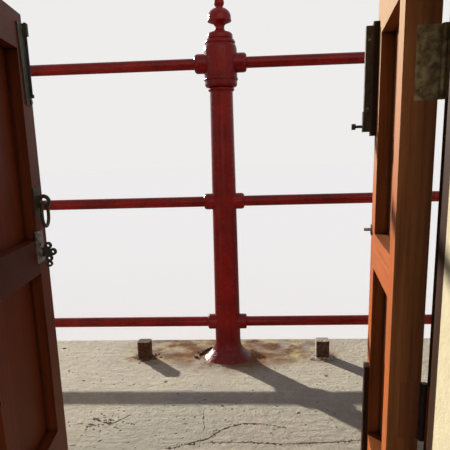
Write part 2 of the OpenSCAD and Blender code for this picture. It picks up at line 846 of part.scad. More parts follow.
// The lock: a thin plate with a raised cover, and a turn on a collar
module lock_case() {
    x = leaf_x1 - lock_in - lock_w;
    mid = x + lock_w / 2;
    color("#B8B8B4") translate([x, face_in - plate_t, lock_plate_z]) cube([lock_w, plate_t, lock_h]);
    cover_z = lock_plate_z + lock_h - cover_h;
    color("#C8C8C4") translate([mid - cover_w / 2, face_in - 2 * plate_t, cover_z])
        cube([cover_w, 2 * plate_t, cover_h]);
    color("#5C5C50") translate([mid, face_in - plate_t, lock_plate_z + turn_z]) {
        rotate([90, 0, 0]) cylinder(d = turn_neck_d, h = turn_neck_l);
        translate([-turn_t / 2, 0, 0]) rotate([90, 0, 90]) linear_extrude(turn_t)
            mirror([1, 0]) turn_bow();
    }
}

module catch() {
    bar_w = 2 * catch_h;
    x = leaf_x1 - edge_in - bar_w;
    color("#A8A8A0") {
        translate([x - catch_h, face_in - plate_t, lock_z + catch_up - 2 * catch_h])
            cube([bar_w + catch_h, plate_t, 4 * catch_h]);
        translate([x, face_in - catch_l, lock_z + catch_up - catch_h / 2])
            cube([bar_w, catch_l, catch_h]);
    }
}

gallery_deck();
deck_stubs();
wall_left();
wall_right();
wall_over_door();
frame_left_jamb();
frame_right_jamb();
frame_head();
door_sill();
post_feet();
left_post();
middle_post();
right_post();
post_finials();
rails(2);  // top_rails
rails(1);  // middle_rails
rails(0);  // bottom_rails
frame_hinges();  // left_frame_hinges
mirror([1, 0, 0]) frame_hinges();  // right_frame_hinges
left_leaf() leaf_hinge_stile();  // left_leaf_hinge_stile
left_leaf() leaf_meeting_stile(true);  // left_leaf_meeting_stile
left_leaf() leaf_rail(top_rail_z, leaf_top);  // left_leaf_top_rail
left_leaf() leaf_rail(lock_z0, lock_z);  // left_leaf_lock_rail
left_leaf() leaf_rail(leaf_z, low_rail_top);  // left_leaf_bottom_rail
left_leaf() leaf_panel(lock_z, top_rail_z);  // left_leaf_upper_panel
left_leaf() leaf_panel(low_rail_top, lock_z0);  // left_leaf_lower_panel
left_leaf() leaf_hinges();  // left_leaf_hinges
right_leaf() leaf_hinge_stile();  // right_leaf_hinge_stile
right_leaf() leaf_meeting_stile(false);  // right_leaf_meeting_stile
right_leaf() leaf_rail(top_rail_z, leaf_top);  // right_leaf_top_rail
right_leaf() leaf_rail(lock_z0, lock_z);  // right_leaf_lock_rail
right_leaf() leaf_rail(leaf_z, low_rail_top);  // right_leaf_bottom_rail
right_leaf() leaf_panel(lock_z, top_rail_z);  // right_leaf_upper_panel
right_leaf() leaf_panel(low_rail_top, lock_z0);  // right_leaf_lower_panel
right_leaf() leaf_hinges();  // right_leaf_hinges
left_leaf() bolt_plate();  // left_bolt_plate
left_leaf() left_bolt_rod();  // left_bolt
left_leaf() ring_plate();  // left_ring_plate
left_leaf() pull_ring();  // left_ring
left_leaf() lock_case();  // left_lock
right_leaf() bolt_blocks();  // right_bolt_blocks
right_leaf() bolt_case();  // right_bolt_case
right_leaf() right_bolt_rod();  // right_bolt
right_leaf() catch();  // right_catch
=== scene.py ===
"""Finishes, fixings and wear of a lighthouse gallery section with its door and railing."""

import functools
import json
import math
import random

import bmesh
import bpy
from mathutils import Matrix, Vector, noise


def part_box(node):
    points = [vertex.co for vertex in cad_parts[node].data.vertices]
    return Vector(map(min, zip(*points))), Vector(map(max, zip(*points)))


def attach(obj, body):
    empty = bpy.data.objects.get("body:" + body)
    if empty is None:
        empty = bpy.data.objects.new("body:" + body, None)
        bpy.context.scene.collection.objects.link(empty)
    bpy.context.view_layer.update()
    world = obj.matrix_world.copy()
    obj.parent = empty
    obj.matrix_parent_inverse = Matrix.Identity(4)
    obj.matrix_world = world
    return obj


bl_info = {
    "name": "Lighthouse gallery section",
    "version": (1, 0, 0),
    "blender": (4, 5, 0),
    "location": "3D View > Sidebar > Gallery",
    "description": "Finishes, fixings and wear of a gallery section with door and railing",
    "category": "Object",
}

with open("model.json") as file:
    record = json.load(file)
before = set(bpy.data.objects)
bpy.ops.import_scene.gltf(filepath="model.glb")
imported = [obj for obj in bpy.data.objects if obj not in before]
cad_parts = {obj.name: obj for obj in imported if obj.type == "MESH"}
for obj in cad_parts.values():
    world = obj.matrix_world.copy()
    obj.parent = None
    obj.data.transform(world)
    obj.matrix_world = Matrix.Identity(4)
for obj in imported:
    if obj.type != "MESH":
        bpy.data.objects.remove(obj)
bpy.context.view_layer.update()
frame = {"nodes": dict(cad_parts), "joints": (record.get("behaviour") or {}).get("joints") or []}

MM = 0.001
DECK_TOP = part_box("deck_stubs")[0][2]
# The posts stand in a row, one bay apart, on round feet
BAY = (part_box("right_post")[0][0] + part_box("right_post")[1][0]) / 2
POST_XS = (-BAY, 0.0, BAY)
FOOT_R = 97 * MM
# A square bar was sawn off on each side of a post, and each pair stands a little off the post's middle
STUB_W = 50 * MM
STUB_OFF = 353 * MM
STUB_SHIFT = 17 * MM
STUB_XS = tuple(
    bay * BAY / 2 + side * (BAY / 2 - STUB_OFF) + STUB_SHIFT for bay in (-1, 1) for side in (-1, 1))
# A leaf turns on its pin, and stands open in the part's rest pose
DOOR_HINGE = next(joint_occlusion for joint_occlusion in frame["joints"] if joint_occlusion["name"] == "right_door_hinge")
PIN_X, PIN_Y = DOOR_HINGE["pos_m"][:2]
OPEN_ANGLE = math.radians(-DOOR_HINGE["range_deg"][0])
# The leaf's edge and outer face, from the pin
LEAF_X0 = 2.75 * MM
PIN_OUT = 5.5 * MM
LEAF_T = 54 * MM
# The jamb's side and the wall's face, as the sill fills the doorway
JAMB_X, WALL_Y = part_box("door_sill")[1][:2]
# The hinges' middles over the walkway
HINGE_H = 108 * MM
HINGE_MIDDLES = (
    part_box("right_leaf_hinges")[0][2] + HINGE_H / 2 - DECK_TOP,
    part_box("right_leaf_hinges")[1][2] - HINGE_H / 2 - DECK_TOP,
)
# A hinge plate's screws, in mm: over the hinge's middle, and in from the leaf's outer face
HINGE_SCREWS = ((-40, 24), (0, 12), (40, 24))
# The boards of a leaf, each with the way its grain runs
LEAF_BOARDS = {
    "hinge_stile": "z", "meeting_stile": "z", "top_rail": "x", "lock_rail": "x",
    "bottom_rail": "x", "upper_panel": "z", "lower_panel": "z",
}
# How far cracks and chips reach into the walkway, so that no edge of theirs floats
CHIP_SINK = 0.4 * MM
# What turns a Mix node into one for colours
COLOUR_MIX = {"data_type": "RGBA", "out": 2}


def linear(code):
    """The linear colour, with alpha, of an sRGB hex value such as #8E1F1B."""
    parts = [int(code[i : i + 2], 16) / 255 for i in (1, 3, 5)]
    return [p / 12.92 if p <= 0.04045 else ((p + 0.055) / 1.055) ** 2.4 for p in parts] + [1.0]


def colour_prop(name, description, code):
    """A colour in the panel, from its sRGB hex value."""
    return bpy.props.FloatVectorProperty(
        name=name, description=description, subtype="COLOR", size=4,
        min=0.0, max=1.0, default=linear(code),
    )


def length_prop(name, description, metres):
    """A length in the panel."""
    return bpy.props.FloatProperty(
        name=name, description=description, default=metres, min=0.0,
        subtype="DISTANCE", unit="LENGTH", precision=4,
    )


class GalleryColours(bpy.types.PropertyGroup):
    """The colours that a user would change."""

    enamel: colour_prop("Enamel", "Red enamel on posts and rails", "#921C19")
    enamel_faded: colour_prop("Faded enamel", "Enamel bleached by the sun", "#A8443E")
    rust: colour_prop("Rust", "Rust on iron and its runs on concrete", "#5C331C")
    concrete: colour_prop("Concrete", "Walkway slab", "#E4DCC4")
    render: colour_prop("Render", "Limewashed wall", "#D6C9A3")
    # The left leaf's timber is made darker as painted shade, since that leaf stands in shade
    timber: colour_prop("Timber", "Varnished door timber", "#6C3012")
    timber_dark: colour_prop("Dark timber", "Late wood and pores", "#401D0D")
    # Painted sunlight: the orange of the right leaf's faces where the afternoon sun falls
    timber_painted_sunlight: colour_prop("Sunlit timber", "Timber that the afternoon sun has turned orange", "#C96A2D")
    # Also the colour of the painted highlight high up on the right leaf
    timber_worn_and_highlight: colour_prop("Worn timber", "Timber where the varnish has gone", "#BC9770")
    # Painted sunlight: the right leaf's timber is made lighter, since that leaf stands in the sun
    timber_lit_leaf: colour_prop("Lighter timber", "Timber of the right leaf, which stands in the sun", "#9A5E33")
    # Dark partly as the frame's own oiled colour and partly as painted shade on the jamb
    frame_timber: colour_prop("Frame timber", "Oiled timber of the frame and the bolt blocks", "#42291B")
    bronze: colour_prop("Bronze", "Tarnished bronze of the hardware", "#494734")
    steel: colour_prop("Steel", "Bare steel of the lock plate", "#B4AEA6")


class GallerySizes(bpy.types.PropertyGroup):
    """The sizes that a user would change."""

    hinge_screw: length_prop("Hinge screw", "Head diameter of the hinge screws", 8 * MM)
    plate_screw: length_prop("Plate screw", "Head diameter of the screws in bolts and plates", 6.5 * MM)
    bedding: length_prop("Bedding", "Width of the mortar bedding round a post's foot", 14 * MM)
    timber_arris: length_prop("Timber arris", "Width of the rubbed edge on each board", 2.6 * MM)


def add_node(tree, kind, inputs=None, out=0, **settings):
    """Adds one shader node and gives back one output. An input is a value or another node's output."""
    node = tree.nodes.new("ShaderNode" + kind)
    for key, value in settings.items():
        setattr(node, key, value)
    for key, value in (inputs or {}).items():
        if isinstance(value, bpy.types.NodeSocket):
            tree.links.new(value, node.inputs[key])
        else:
            node.inputs[key].default_value = value
    return node.outputs[out] if node.outputs else node


def new_material(name):
    """An empty material, and add_node for its tree."""
    material = bpy.data.materials.new(name)
    material.use_nodes = True
    material.node_tree.nodes.clear()
    return material, functools.partial(add_node, material.node_tree)


def enamel_on_iron(name, colours, strokes):
    """Brushed alkyd enamel on iron: satin red with brush lines, bleached on top, chipped to rust in spots.

    The strokes are the brush lines per metre in x, y and z.
    """
    material, add = new_material(name)
    place = add("TexCoord", out="Object")
    facing = add("TexCoord", out="Normal")
    up = add("SeparateXYZ", {0: facing}, "Z")
    height = add("SeparateXYZ", {0: place}, "Z")
    clouds = add("TexNoise", {"Vector": place, "Scale": 1 / 0.09, "Detail": 4.0})
    mottle = add("TexNoise", {"Vector": place, "Scale": 1 / 0.011, "Detail": 3.0})
    # Brush lines, drawn coarser than real ones so that they show
    stroke_place = add("VectorMath", {0: place, 1: strokes}, operation="MULTIPLY")
    stroke = add("TexNoise", {"Vector": stroke_place, "Scale": 1.0, "Detail": 2.0})
    tone = add("MapRange", {0: clouds, 1: 0.35, 2: 0.65})
    even = add("Mix", {0: tone, 6: linear("#721415"), 7: colours.enamel}, **COLOUR_MIX)
    # The red turns darker towards the foot
    low = add("MapRange", {0: height, 1: 0.30, 2: 0.18, 3: 0.0, 4: 0.7})
    deep = add("Mix", {0: low, 6: even, 7: linear("#5E0F11")}, **COLOUR_MIX)
    lined = add("MapRange", {0: stroke, 1: 0.5, 2: 0.75, 3: 0.0, 4: 0.3})
    brushed = add("Mix", {0: lined, 6: deep, 7: linear("#9C2A22")}, **COLOUR_MIX)
    # The sun bleaches what faces the sky
    sky = add("MapRange", {0: up, 1: 0.55, 2: 0.98})
    patchy = add("MapRange", {0: clouds, 1: 0.35, 2: 0.65, 3: 0.1, 4: 0.6})
    bleach = add("Math", {0: sky, 1: patchy}, operation="MULTIPLY")
    chalky = add("Mix", {0: bleach, 6: brushed, 7: colours.enamel_faded}, **COLOUR_MIX)
    # Grime and painted shade darken the grooves, found by ambient occlusion
    groove_occlusion = add("AmbientOcclusion", {"Distance": 0.010}, "AO", samples=6, only_local=True)
    painted_shade_and_grime = add("MapRange", {0: groove_occlusion, 1: 0.3, 2: 0.75, 3: 0.4, 4: 0.0})
    grimed_and_shaded = add("Mix", {0: painted_shade_and_grime, 6: chalky, 7: linear("#3A0F0D")}, **COLOUR_MIX)
    # Chips: rare, and more of them low down where water stands
    damp = add("MapRange", {0: height, 1: 0.36, 2: 0.16, 3: 0.0, 4: 0.10})
    chip_noise = add("TexNoise", {"Vector": place, "Scale": 1 / 0.014, "Detail": 3.0, "Roughness": 0.6})
    chip_level = add("Math", {0: chip_noise, 1: damp}, operation="ADD")
    chip = add("MapRange", {0: chip_level, 1: 0.735, 2: 0.75})
    edge = add("AmbientOcclusion", {"Distance": 0.003}, "AO", samples=6, inside=True, only_local=True)
    rub = add("MapRange", {0: edge, 1: 0.42, 2: 0.2})
    rub_here = add("MapRange", {0: mottle, 1: 0.56, 2: 0.64})
    rubbed = add("Math", {0: rub, 1: rub_here}, operation="MULTIPLY")
    bare = add("Math", {0: chip, 1: rubbed}, operation="MAXIMUM")
    rusty = add("Mix", {0: mottle, 6: colours.rust, 7: linear("#9A5A30")}, **COLOUR_MIX)
    colour = add("Mix", {0: bare, 6: grimed_and_shaded, 7: rusty}, **COLOUR_MIX)
    satin = add("MapRange", {0: mottle, 1: 0.3, 2: 0.8, 3: 0.20, 4: 0.32})
    dulled = add("Math", {0: bleach, 1: bare}, operation="MAXIMUM")
    dull = add("Math", {0: dulled, 1: 0.3}, operation="MULTIPLY")
    # The thick paint of the foot is the slickest
    slick = add("Math", {0: low, 1: -0.12, 2: satin}, operation="MULTIPLY_ADD")
    rough = add("Math", {0: slick, 1: dull}, operation="ADD")
    paint = add("Math", {0: stroke, 1: bare}, operation="SUBTRACT")
    thick = add("Math", {0: low, 1: 4.0, 2: 1.0}, operation="MULTIPLY_ADD")
    relief_height = add("Math", {0: mottle, 1: thick, 2: paint}, operation="MULTIPLY_ADD")
    relief = add("Bump", {"Height": relief_height, "Distance": 0.0007})
    shader = add("BsdfPrincipled", {
        "Base Color": colour, "Roughness": rough, "Normal": relief, "Specular IOR Level": 0.15})
    add("OutputMaterial", {"Surface": shader})
    return material


def varnished_timber(name, light, dark, colours, turn, along, seed, painted_light=None):
    """Planed and varnished red hardwood: straight dark grain, open pores and dirt in its joints.

    Where it faces one way, its colours may be swapped for painted sunlight or painted shade, and it may
    carry a painted highlight high up.
    """
    # The facing, the two colours and the highlight's strength for painted sunlight or painted shade
    painted_facing, painted_pale, painted_deep, bleach = painted_light or ((0.0, 0.0, 0.0), light, dark, 0.0)
    material, add = new_material(name)
    place = add("TexCoord", out="Object")
    facing = add("TexCoord", out="Normal")
    square = add("VectorRotate", {"Vector": place, "Angle": -turn}, rotation_type="Z_AXIS")
    # Bands of grain 10 mm across and 320 mm long, with pores 1.5 mm across
    lengthways, across = 1 / 0.32, 1 / 0.010
    stretch = (lengthways, across, across) if along == "x" else (across, across, lengthways)
    grain_place = add("VectorMath", {0: square, 1: stretch}, operation="MULTIPLY")
    figure = add(
        "TexNoise", {"Vector": grain_place, "W": seed, "Scale": 1.0, "Detail": 5.0, "Roughness": 0.6},
        noise_dimensions="4D")
    pores = add(
        "TexNoise", {"Vector": grain_place, "W": seed + 2, "Scale": 7.0, "Detail": 2.0},
        noise_dimensions="4D")
    broad = add(
        "TexNoise", {"Vector": place, "W": seed + 4, "Scale": 1 / 0.16, "Detail": 3.0},
        noise_dimensions="4D")
    banded = add("MapRange", {0: figure, 1: 0.22, 2: 0.62})
    base = add("Mix", {0: banded, 6: dark, 7: light}, **COLOUR_MIX)
    # Painted sunlight or painted shade: faces that look the given way take the painted colours, unevenly
    facing_painted_side = add("VectorMath", {0: facing, 1: painted_facing}, "Value", operation="DOT_PRODUCT")
    painted_side = add("MapRange", {0: facing_painted_side, 1: 0.6, 2: 0.9})
    painted_unevenness = add("MapRange", {0: broad, 1: 0.35, 2: 0.65, 3: 0.7, 4: 1.0})
    orange = add("Math", {0: painted_side, 1: painted_unevenness}, operation="MULTIPLY")
    painted_grain = add("Mix", {0: banded, 6: painted_deep, 7: painted_pale}, **COLOUR_MIX)
    with_painted_light = add("Mix", {0: orange, 6: base, 7: painted_grain}, **COLOUR_MIX)
    pored = add("MapRange", {0: pores, 1: 0.55, 2: 0.72, 3: 0.0, 4: 0.35})
    dark_pores = add("Mix", {0: pored, 6: with_painted_light, 7: dark}, **COLOUR_MIX)
    # Joints and recesses, found by ambient occlusion, are darkened: old varnish and dirt, and painted shade
    joint_occlusion = add("AmbientOcclusion", {"Distance": 0.014}, "AO", samples=8)
    dirt = add("MapRange", {0: joint_occlusion, 1: 0.35, 2: 0.85, 3: 0.9, 4: 0.0})
    # Varnish rubbed off the arrises, and a pale painted highlight where the afternoon sun falls on the upper
    # half
    edge = add("AmbientOcclusion", {"Distance": 0.005}, "AO", samples=6, inside=True, only_local=True)
    rub = add("MapRange", {0: edge, 1: 0.55, 2: 0.25, 3: 0.0, 4: 0.8})
    rub_here = add("MapRange", {0: figure, 1: 0.38, 2: 0.6})
    rubbed = add("Math", {0: rub, 1: rub_here}, operation="MULTIPLY")
    height = add("SeparateXYZ", {0: place}, "Z")
    # The painted highlight grows towards the top of faces in the sun, as strong as bleach says
    upper = add("MapRange", {0: height, 1: 0.80, 2: 1.15, 3: 0.0, 4: bleach})
    painted_highlight = add("Math", {0: painted_side, 1: upper}, operation="MULTIPLY")
    wear_and_highlight = add("Math", {0: rubbed, 1: painted_highlight}, operation="MAXIMUM")
    with_wear_and_highlight = add("Mix", {0: wear_and_highlight, 6: dark_pores, 7: colours.timber_worn_and_highlight}, **COLOUR_MIX)
    # Dirt and painted shade in the joints and recesses
    colour = add("Mix", {0: dirt, 6: with_wear_and_highlight, 7: linear("#22100A")}, **COLOUR_MIX)
    gloss = add("MapRange", {0: figure, 1: 0.2, 2: 0.8, 3: 0.44, 4: 0.58})
    dull = add("Math", {0: wear_and_highlight, 1: 0.2}, operation="MULTIPLY")
    rough = add("Math", {0: gloss, 1: dull}, operation="ADD")
    relief_height = add("Math", {0: figure, 1: pored}, operation="SUBTRACT")
    relief = add("Bump", {"Height": relief_height, "Distance": 0.0004})
    shader = add("BsdfPrincipled", {
        "Base Color": colour, "Roughness": rough, "Normal": relief, "Specular IOR Level": 0.1})
    add("OutputMaterial", {"Surface": shader})
    return material


def weathered_concrete(colours):
    """Float-finished concrete: pale, with float lines and grit, and rust run out of the iron in it."""
    material, add = new_material("weathered_float_finished_concrete")
    place = add("TexCoord", out="Object")
    clouds = add("TexNoise", {"Vector": place, "Scale": 1 / 0.30, "Detail": 4.0, "Roughness": 0.6})
    mottle = add("TexNoise", {"Vector": place, "Scale": 1 / 0.028, "Detail": 4.0, "Roughness": 0.6})
    # Float lines 22 mm apart and 100 mm long, along the railing
    float_place = add("VectorMath", {0: place, 1: (10.0, 45.0, 20.0)}, operation="MULTIPLY")
    floated = add("TexNoise", {"Vector": float_place, "Scale": 1.0, "Detail": 5.0, "Roughness": 0.65})
    grit = add("TexNoise", {"Vector": place, "Scale": 1 / 0.0045, "Detail": 3.0, "Roughness": 0.65})
    cloudy = add("MapRange", {0: clouds, 1: 0.35, 2: 0.65})
    base = add("Mix", {0: cloudy, 6: linear("#D5CFBC"), 7: colours.concrete}, **COLOUR_MIX)
    streak = add("MapRange", {0: floated, 1: 0.52, 2: 0.75, 3: 0.0, 4: 0.28})
    lined = add("Mix", {0: streak, 6: base, 7: linear("#9C907B")}, **COLOUR_MIX)
    scoured = add("MapRange", {0: mottle, 1: 0.50, 2: 0.75, 3: 0.0, 4: 0.6})
    patched = add("Mix", {0: scoured, 6: lined, 7: linear("#F0EBDA")}, **COLOUR_MIX)
    speck = add("MapRange", {0: grit, 1: 0.52, 2: 0.70, 3: 0.0, 4: 0.55})
    gritty = add("Mix", {0: speck, 6: patched, 7: linear("#857B6A")}, **COLOUR_MIX)
    # Greyer and darker towards the door
    out = add("SeparateXYZ", {0: place}, "Y")
    doorward = add("Math", {0: mottle, 1: 0.5, 2: out}, operation="MULTIPLY_ADD")
    grey_towards_door = add("MapRange", {0: doorward, 1: -0.02, 2: -0.40, 3: 0.0, 4: 0.5})
    greyer_towards_door = add("Mix", {0: grey_towards_door, 6: gritty, 7: linear("#AEA998")}, **COLOUR_MIX)
    # Places on the walkway, from the nearest post's axis
    along = add("Math", {0: add("SeparateXYZ", {0: place}, "X"), 1: BAY / 2, 2: -BAY / 2}, operation="WRAP")
    # A stain along the strip that holds the iron: ochre, with pale and dark patches 80 mm wide,
    # and runs 80 mm apart down the slab's outer face
    aside = add("Math", {0: along}, operation="ABSOLUTE")
    near = add("MapRange", {0: aside, 1: 0.50, 2: 0.26})
    strip = add("MapRange", {0: out, 1: -0.10, 2: -0.01})
    run_place = add("VectorMath", {0: place, 1: (12.0, 12.0, 1.5)}, operation="MULTIPLY")
    runs = add("TexNoise", {"Vector": run_place, "Scale": 1.0, "Detail": 4.0, "Roughness": 0.5})
    running = add("MapRange", {0: runs, 1: 0.36, 2: 0.54, 3: 0.35, 4: 1.0})
    # Less of it runs down the slab's outer face
    facing = add("TexCoord", out="Normal")
    upward = add("MapRange", {0: add("SeparateXYZ", {0: facing}, "Z"), 1: 0.2, 2: 0.8, 3: 0.4, 4: 1.0})
    washed = add("Math", {0: near, 1: upward}, operation="MULTIPLY")
    strip_near = add("Math", {0: washed, 1: strip}, operation="MULTIPLY")
    stain = add("Math", {0: strip_near, 1: running}, operation="MULTIPLY")
    pool_cloud = add("TexNoise", {"Vector": place, "Scale": 1 / 0.08, "Detail": 3.0, "Roughness": 0.55})
    pools = add("MapRange", {0: pool_cloud, 1: 0.44, 2: 0.60})
    ochre = add("Mix", {0: pools, 6: linear("#74481C"), 7: linear("#D9C48C")}, **COLOUR_MIX)
    stained = add("Mix", {0: stain, 6: greyer_towards_door, 7: ochre}, **COLOUR_MIX)
    # Fresh rust close round each foot
    flat = add("CombineXYZ", {"X": along, "Y": add("Math", {0: out, 1: 1.5}, operation="MULTIPLY")})
    from_foot = add("VectorMath", {0: flat}, "Value", operation="LENGTH")
    foot_ragged = add("Math", {0: mottle, 1: 0.12, 2: from_foot}, operation="MULTIPLY_ADD")
    foot_rust = add("MapRange", {0: foot_ragged, 1: 0.36, 2: 0.20, 3: 0.0, 4: 0.9})
    foot_up = add("Math", {0: foot_rust, 1: upward}, operation="MULTIPLY")
    foot_runs = add("Math", {0: foot_up, 1: running}, operation="MULTIPLY")
    fresh = add("Mix", {0: clouds, 6: linear("#5E3716"), 7: linear("#A86A30")}, **COLOUR_MIX)
    rusty = add("Mix", {0: foot_runs, 6: stained, 7: fresh}, **COLOUR_MIX)
    # And a halo round each sawn-off bar
    shifted = add("Math", {0: along, 1: STUB_SHIFT}, operation="SUBTRACT")
    bar_along = add("Math", {0: shifted}, operation="ABSOLUTE")
    bar_off = add("Math", {0: bar_along, 1: STUB_OFF}, operation="SUBTRACT")
    bar_flat = add("CombineXYZ", {"X": bar_off, "Y": out})
    from_bar = add("VectorMath", {0: bar_flat}, "Value", operation="LENGTH")
    bar_ragged = add("Math", {0: mottle, 1: 0.09, 2: from_bar}, operation="MULTIPLY_ADD")
    halo = add("MapRange", {0: bar_ragged, 1: 0.125, 2: 0.07, 3: 0.0, 4: 0.85})
    bar_rust = add("Mix", {0: runs, 6: linear("#6E4320"), 7: linear("#C79A5C")}, **COLOUR_MIX)
    haloed = add("Mix", {0: halo, 6: rusty, 7: bar_rust}, **COLOUR_MIX)
    # Small dark pits, some 26 mm apart, where grit has come out
    pit_cells = add("TexVoronoi", {"Vector": place, "Scale": 1 / 0.026})
    pit_round = add("MapRange", {0: pit_cells, 1: 0.17, 2: 0.08})
    pit_here = add("TexNoise", {"Vector": place, "Scale": 1 / 0.06, "Detail": 2.0})
    pit_where = add("MapRange", {0: pit_here, 1: 0.46, 2: 0.54})
    pits = add("Math", {0: pit_round, 1: pit_where}, operation="MULTIPLY")
    colour = add("Mix", {0: pits, 6: haloed, 7: linear("#3E3629")}, **COLOUR_MIX)
    lumps = add("Math", {0: mottle, 1: 1.5, 2: floated}, operation="MULTIPLY_ADD")
    lumpy = add("Math", {0: grit, 1: 0.9, 2: lumps}, operation="MULTIPLY_ADD")
    pitted = add("Math", {0: lumpy, 1: pits}, operation="SUBTRACT")
    relief = add("Bump", {"Height": pitted, "Distance": 0.0055})
    shader = add("BsdfPrincipled", {
        "Base Color": colour, "Roughness": 0.88, "Normal": relief, "Specular IOR Level": 0.3})
    add("OutputMaterial", {"Surface": shader})
    return material


def limewashed_render(colours):
    """Hand-floated lime render under limewash: cream, chalky, clouded grey, with splash at its foot."""
    material, add = new_material("limewashed_lime_render")
    place = add("TexCoord", out="Object")
    facing = add("TexCoord", out="Normal")
    height = add("SeparateXYZ", {0: place}, "Z")
    clouds = add("TexNoise", {"Vector": place, "Scale": 1 / 0.18, "Detail": 4.0, "Roughness": 0.6})
    mottle = add("TexNoise", {"Vector": place, "Scale": 1 / 0.022, "Detail": 4.0, "Roughness": 0.6})
    grit = add("TexNoise", {"Vector": place, "Scale": 1 / 0.003, "Detail": 2.0})
    cloudy = add("MapRange", {0: clouds, 1: 0.35, 2: 0.65})
    base = add("Mix", {0: cloudy, 6: linear("#CABF9C"), 7: colours.render}, **COLOUR_MIX)
    bright = add("MapRange", {0: mottle, 1: 0.48, 2: 0.75, 3: 0.0, 4: 0.6})
    washed = add("Mix", {0: bright, 6: base, 7: linear("#DFD6B6")}, **COLOUR_MIX)
    # Painted sunlight: the reveals across the doorway are made paler
    aside = add("Math", {0: add("SeparateXYZ", {0: place}, "X")}, operation="ABSOLUTE")
    in_doorway = add("MapRange", {0: aside, 1: 0.450, 2: 0.445, 3: 0.0, 4: 0.9})
    sideways = add("Math", {0: add("SeparateXYZ", {0: facing}, "X")}, operation="ABSOLUTE")
    across = add("MapRange", {0: sideways, 1: 0.7, 2: 0.9})
    painted_sun_on_reveals = add("Math", {0: in_doorway, 1: across}, operation="MULTIPLY")
    with_painted_sun = add("Mix", {0: painted_sun_on_reveals, 6: washed, 7: linear("#E2D7B2")}, **COLOUR_MIX)
    splash_edge = add("Math", {0: clouds, 1: 0.30, 2: height}, operation="MULTIPLY_ADD")
    splash = add("MapRange", {0: splash_edge, 1: 0.48, 2: 0.28, 3: 0.0, 4: 0.6})
    colour = add("Mix", {0: splash, 6: with_painted_sun, 7: linear("#A19679")}, **COLOUR_MIX)
    floated = add("Math", {0: clouds, 1: 3.0, 2: mottle}, operation="MULTIPLY_ADD")
    gritty = add("Math", {0: grit, 1: 0.4, 2: floated}, operation="MULTIPLY_ADD")
    relief = add("Bump", {"Height": gritty, "Distance": 0.0022})
    shader = add("BsdfPrincipled", {
        "Base Color": colour, "Roughness": 0.92, "Normal": relief, "Specular IOR Level": 0.3})
    add("OutputMaterial", {"Surface": shader})
    return material


def rusted_iron(colours):
    """Wrought iron rusted through its scale: dark and flaking.

    The bar on the right of each post is pale on its top and on its sides away from the door, the others a
    little on their tops.
    """
    material, add = new_material("scaled_wrought_iron")
    place = add("TexCoord", out="Object")
    facing = add("TexCoord", out="Normal")
    flakes = add("TexNoise", {"Vector": place, "Scale": 1 / 0.009, "Detail": 4.0, "Roughness": 0.65})
    dust = add("TexNoise", {"Vector": place, "Scale": 1 / 0.0025, "Detail": 2.0})
    scale = add("MapRange", {0: flakes, 1: 0.35, 2: 0.65})
    base = add("Mix", {0: scale, 6: linear("#241712"), 7: colours.rust}, **COLOUR_MIX)
    dusty = add("MapRange", {0: dust, 1: 0.55, 2: 0.75, 3: 0.0, 4: 0.4})
    rusty = add("Mix", {0: dusty, 6: base, 7: linear("#9A6238")}, **COLOUR_MIX)
    along = add("Math", {0: add("SeparateXYZ", {0: place}, "X"), 1: BAY / 2, 2: -BAY / 2}, operation="WRAP")
    pale_bar = add("MapRange", {0: along, 1: 0.22, 2: 0.30, 3: 0.12, 4: 1.0})
    # Paler on the tops and on the sides away from the door
    up = add("SeparateXYZ", {0: facing}, "Z")
    outward = add("SeparateXYZ", {0: facing}, "Y")
    top = add("MapRange", {0: up, 1: 0.4, 2: 0.9, 3: 0.0, 4: 1.0})
    back = add("MapRange", {0: outward, 1: -0.7, 2: -0.1, 3: 0.05, 4: 0.9})
    sides = add("Math", {0: top, 1: back}, operation="MAXIMUM")
    patchy = add("MapRange", {0: flakes, 1: 0.38, 2: 0.55, 3: 0.2, 4: 1.0})
    pale_facing = add("Math", {0: sides, 1: patchy}, operation="MULTIPLY")
    crust = add("Math", {0: pale_facing, 1: pale_bar}, operation="MULTIPLY")
    colour = add("Mix", {0: crust, 6: rusty, 7: linear("#D8CFBE")}, **COLOUR_MIX)
    relief_height = add("Math", {0: dust, 1: 0.3, 2: flakes}, operation="MULTIPLY_ADD")
    relief = add("Bump", {"Height": relief_height, "Distance": 0.004})
    shader = add("BsdfPrincipled", {
        "Base Color": colour, "Roughness": 0.85, "Normal": relief, "Specular IOR Level": 0.25})
    add("OutputMaterial", {"Surface": shader})
    return material


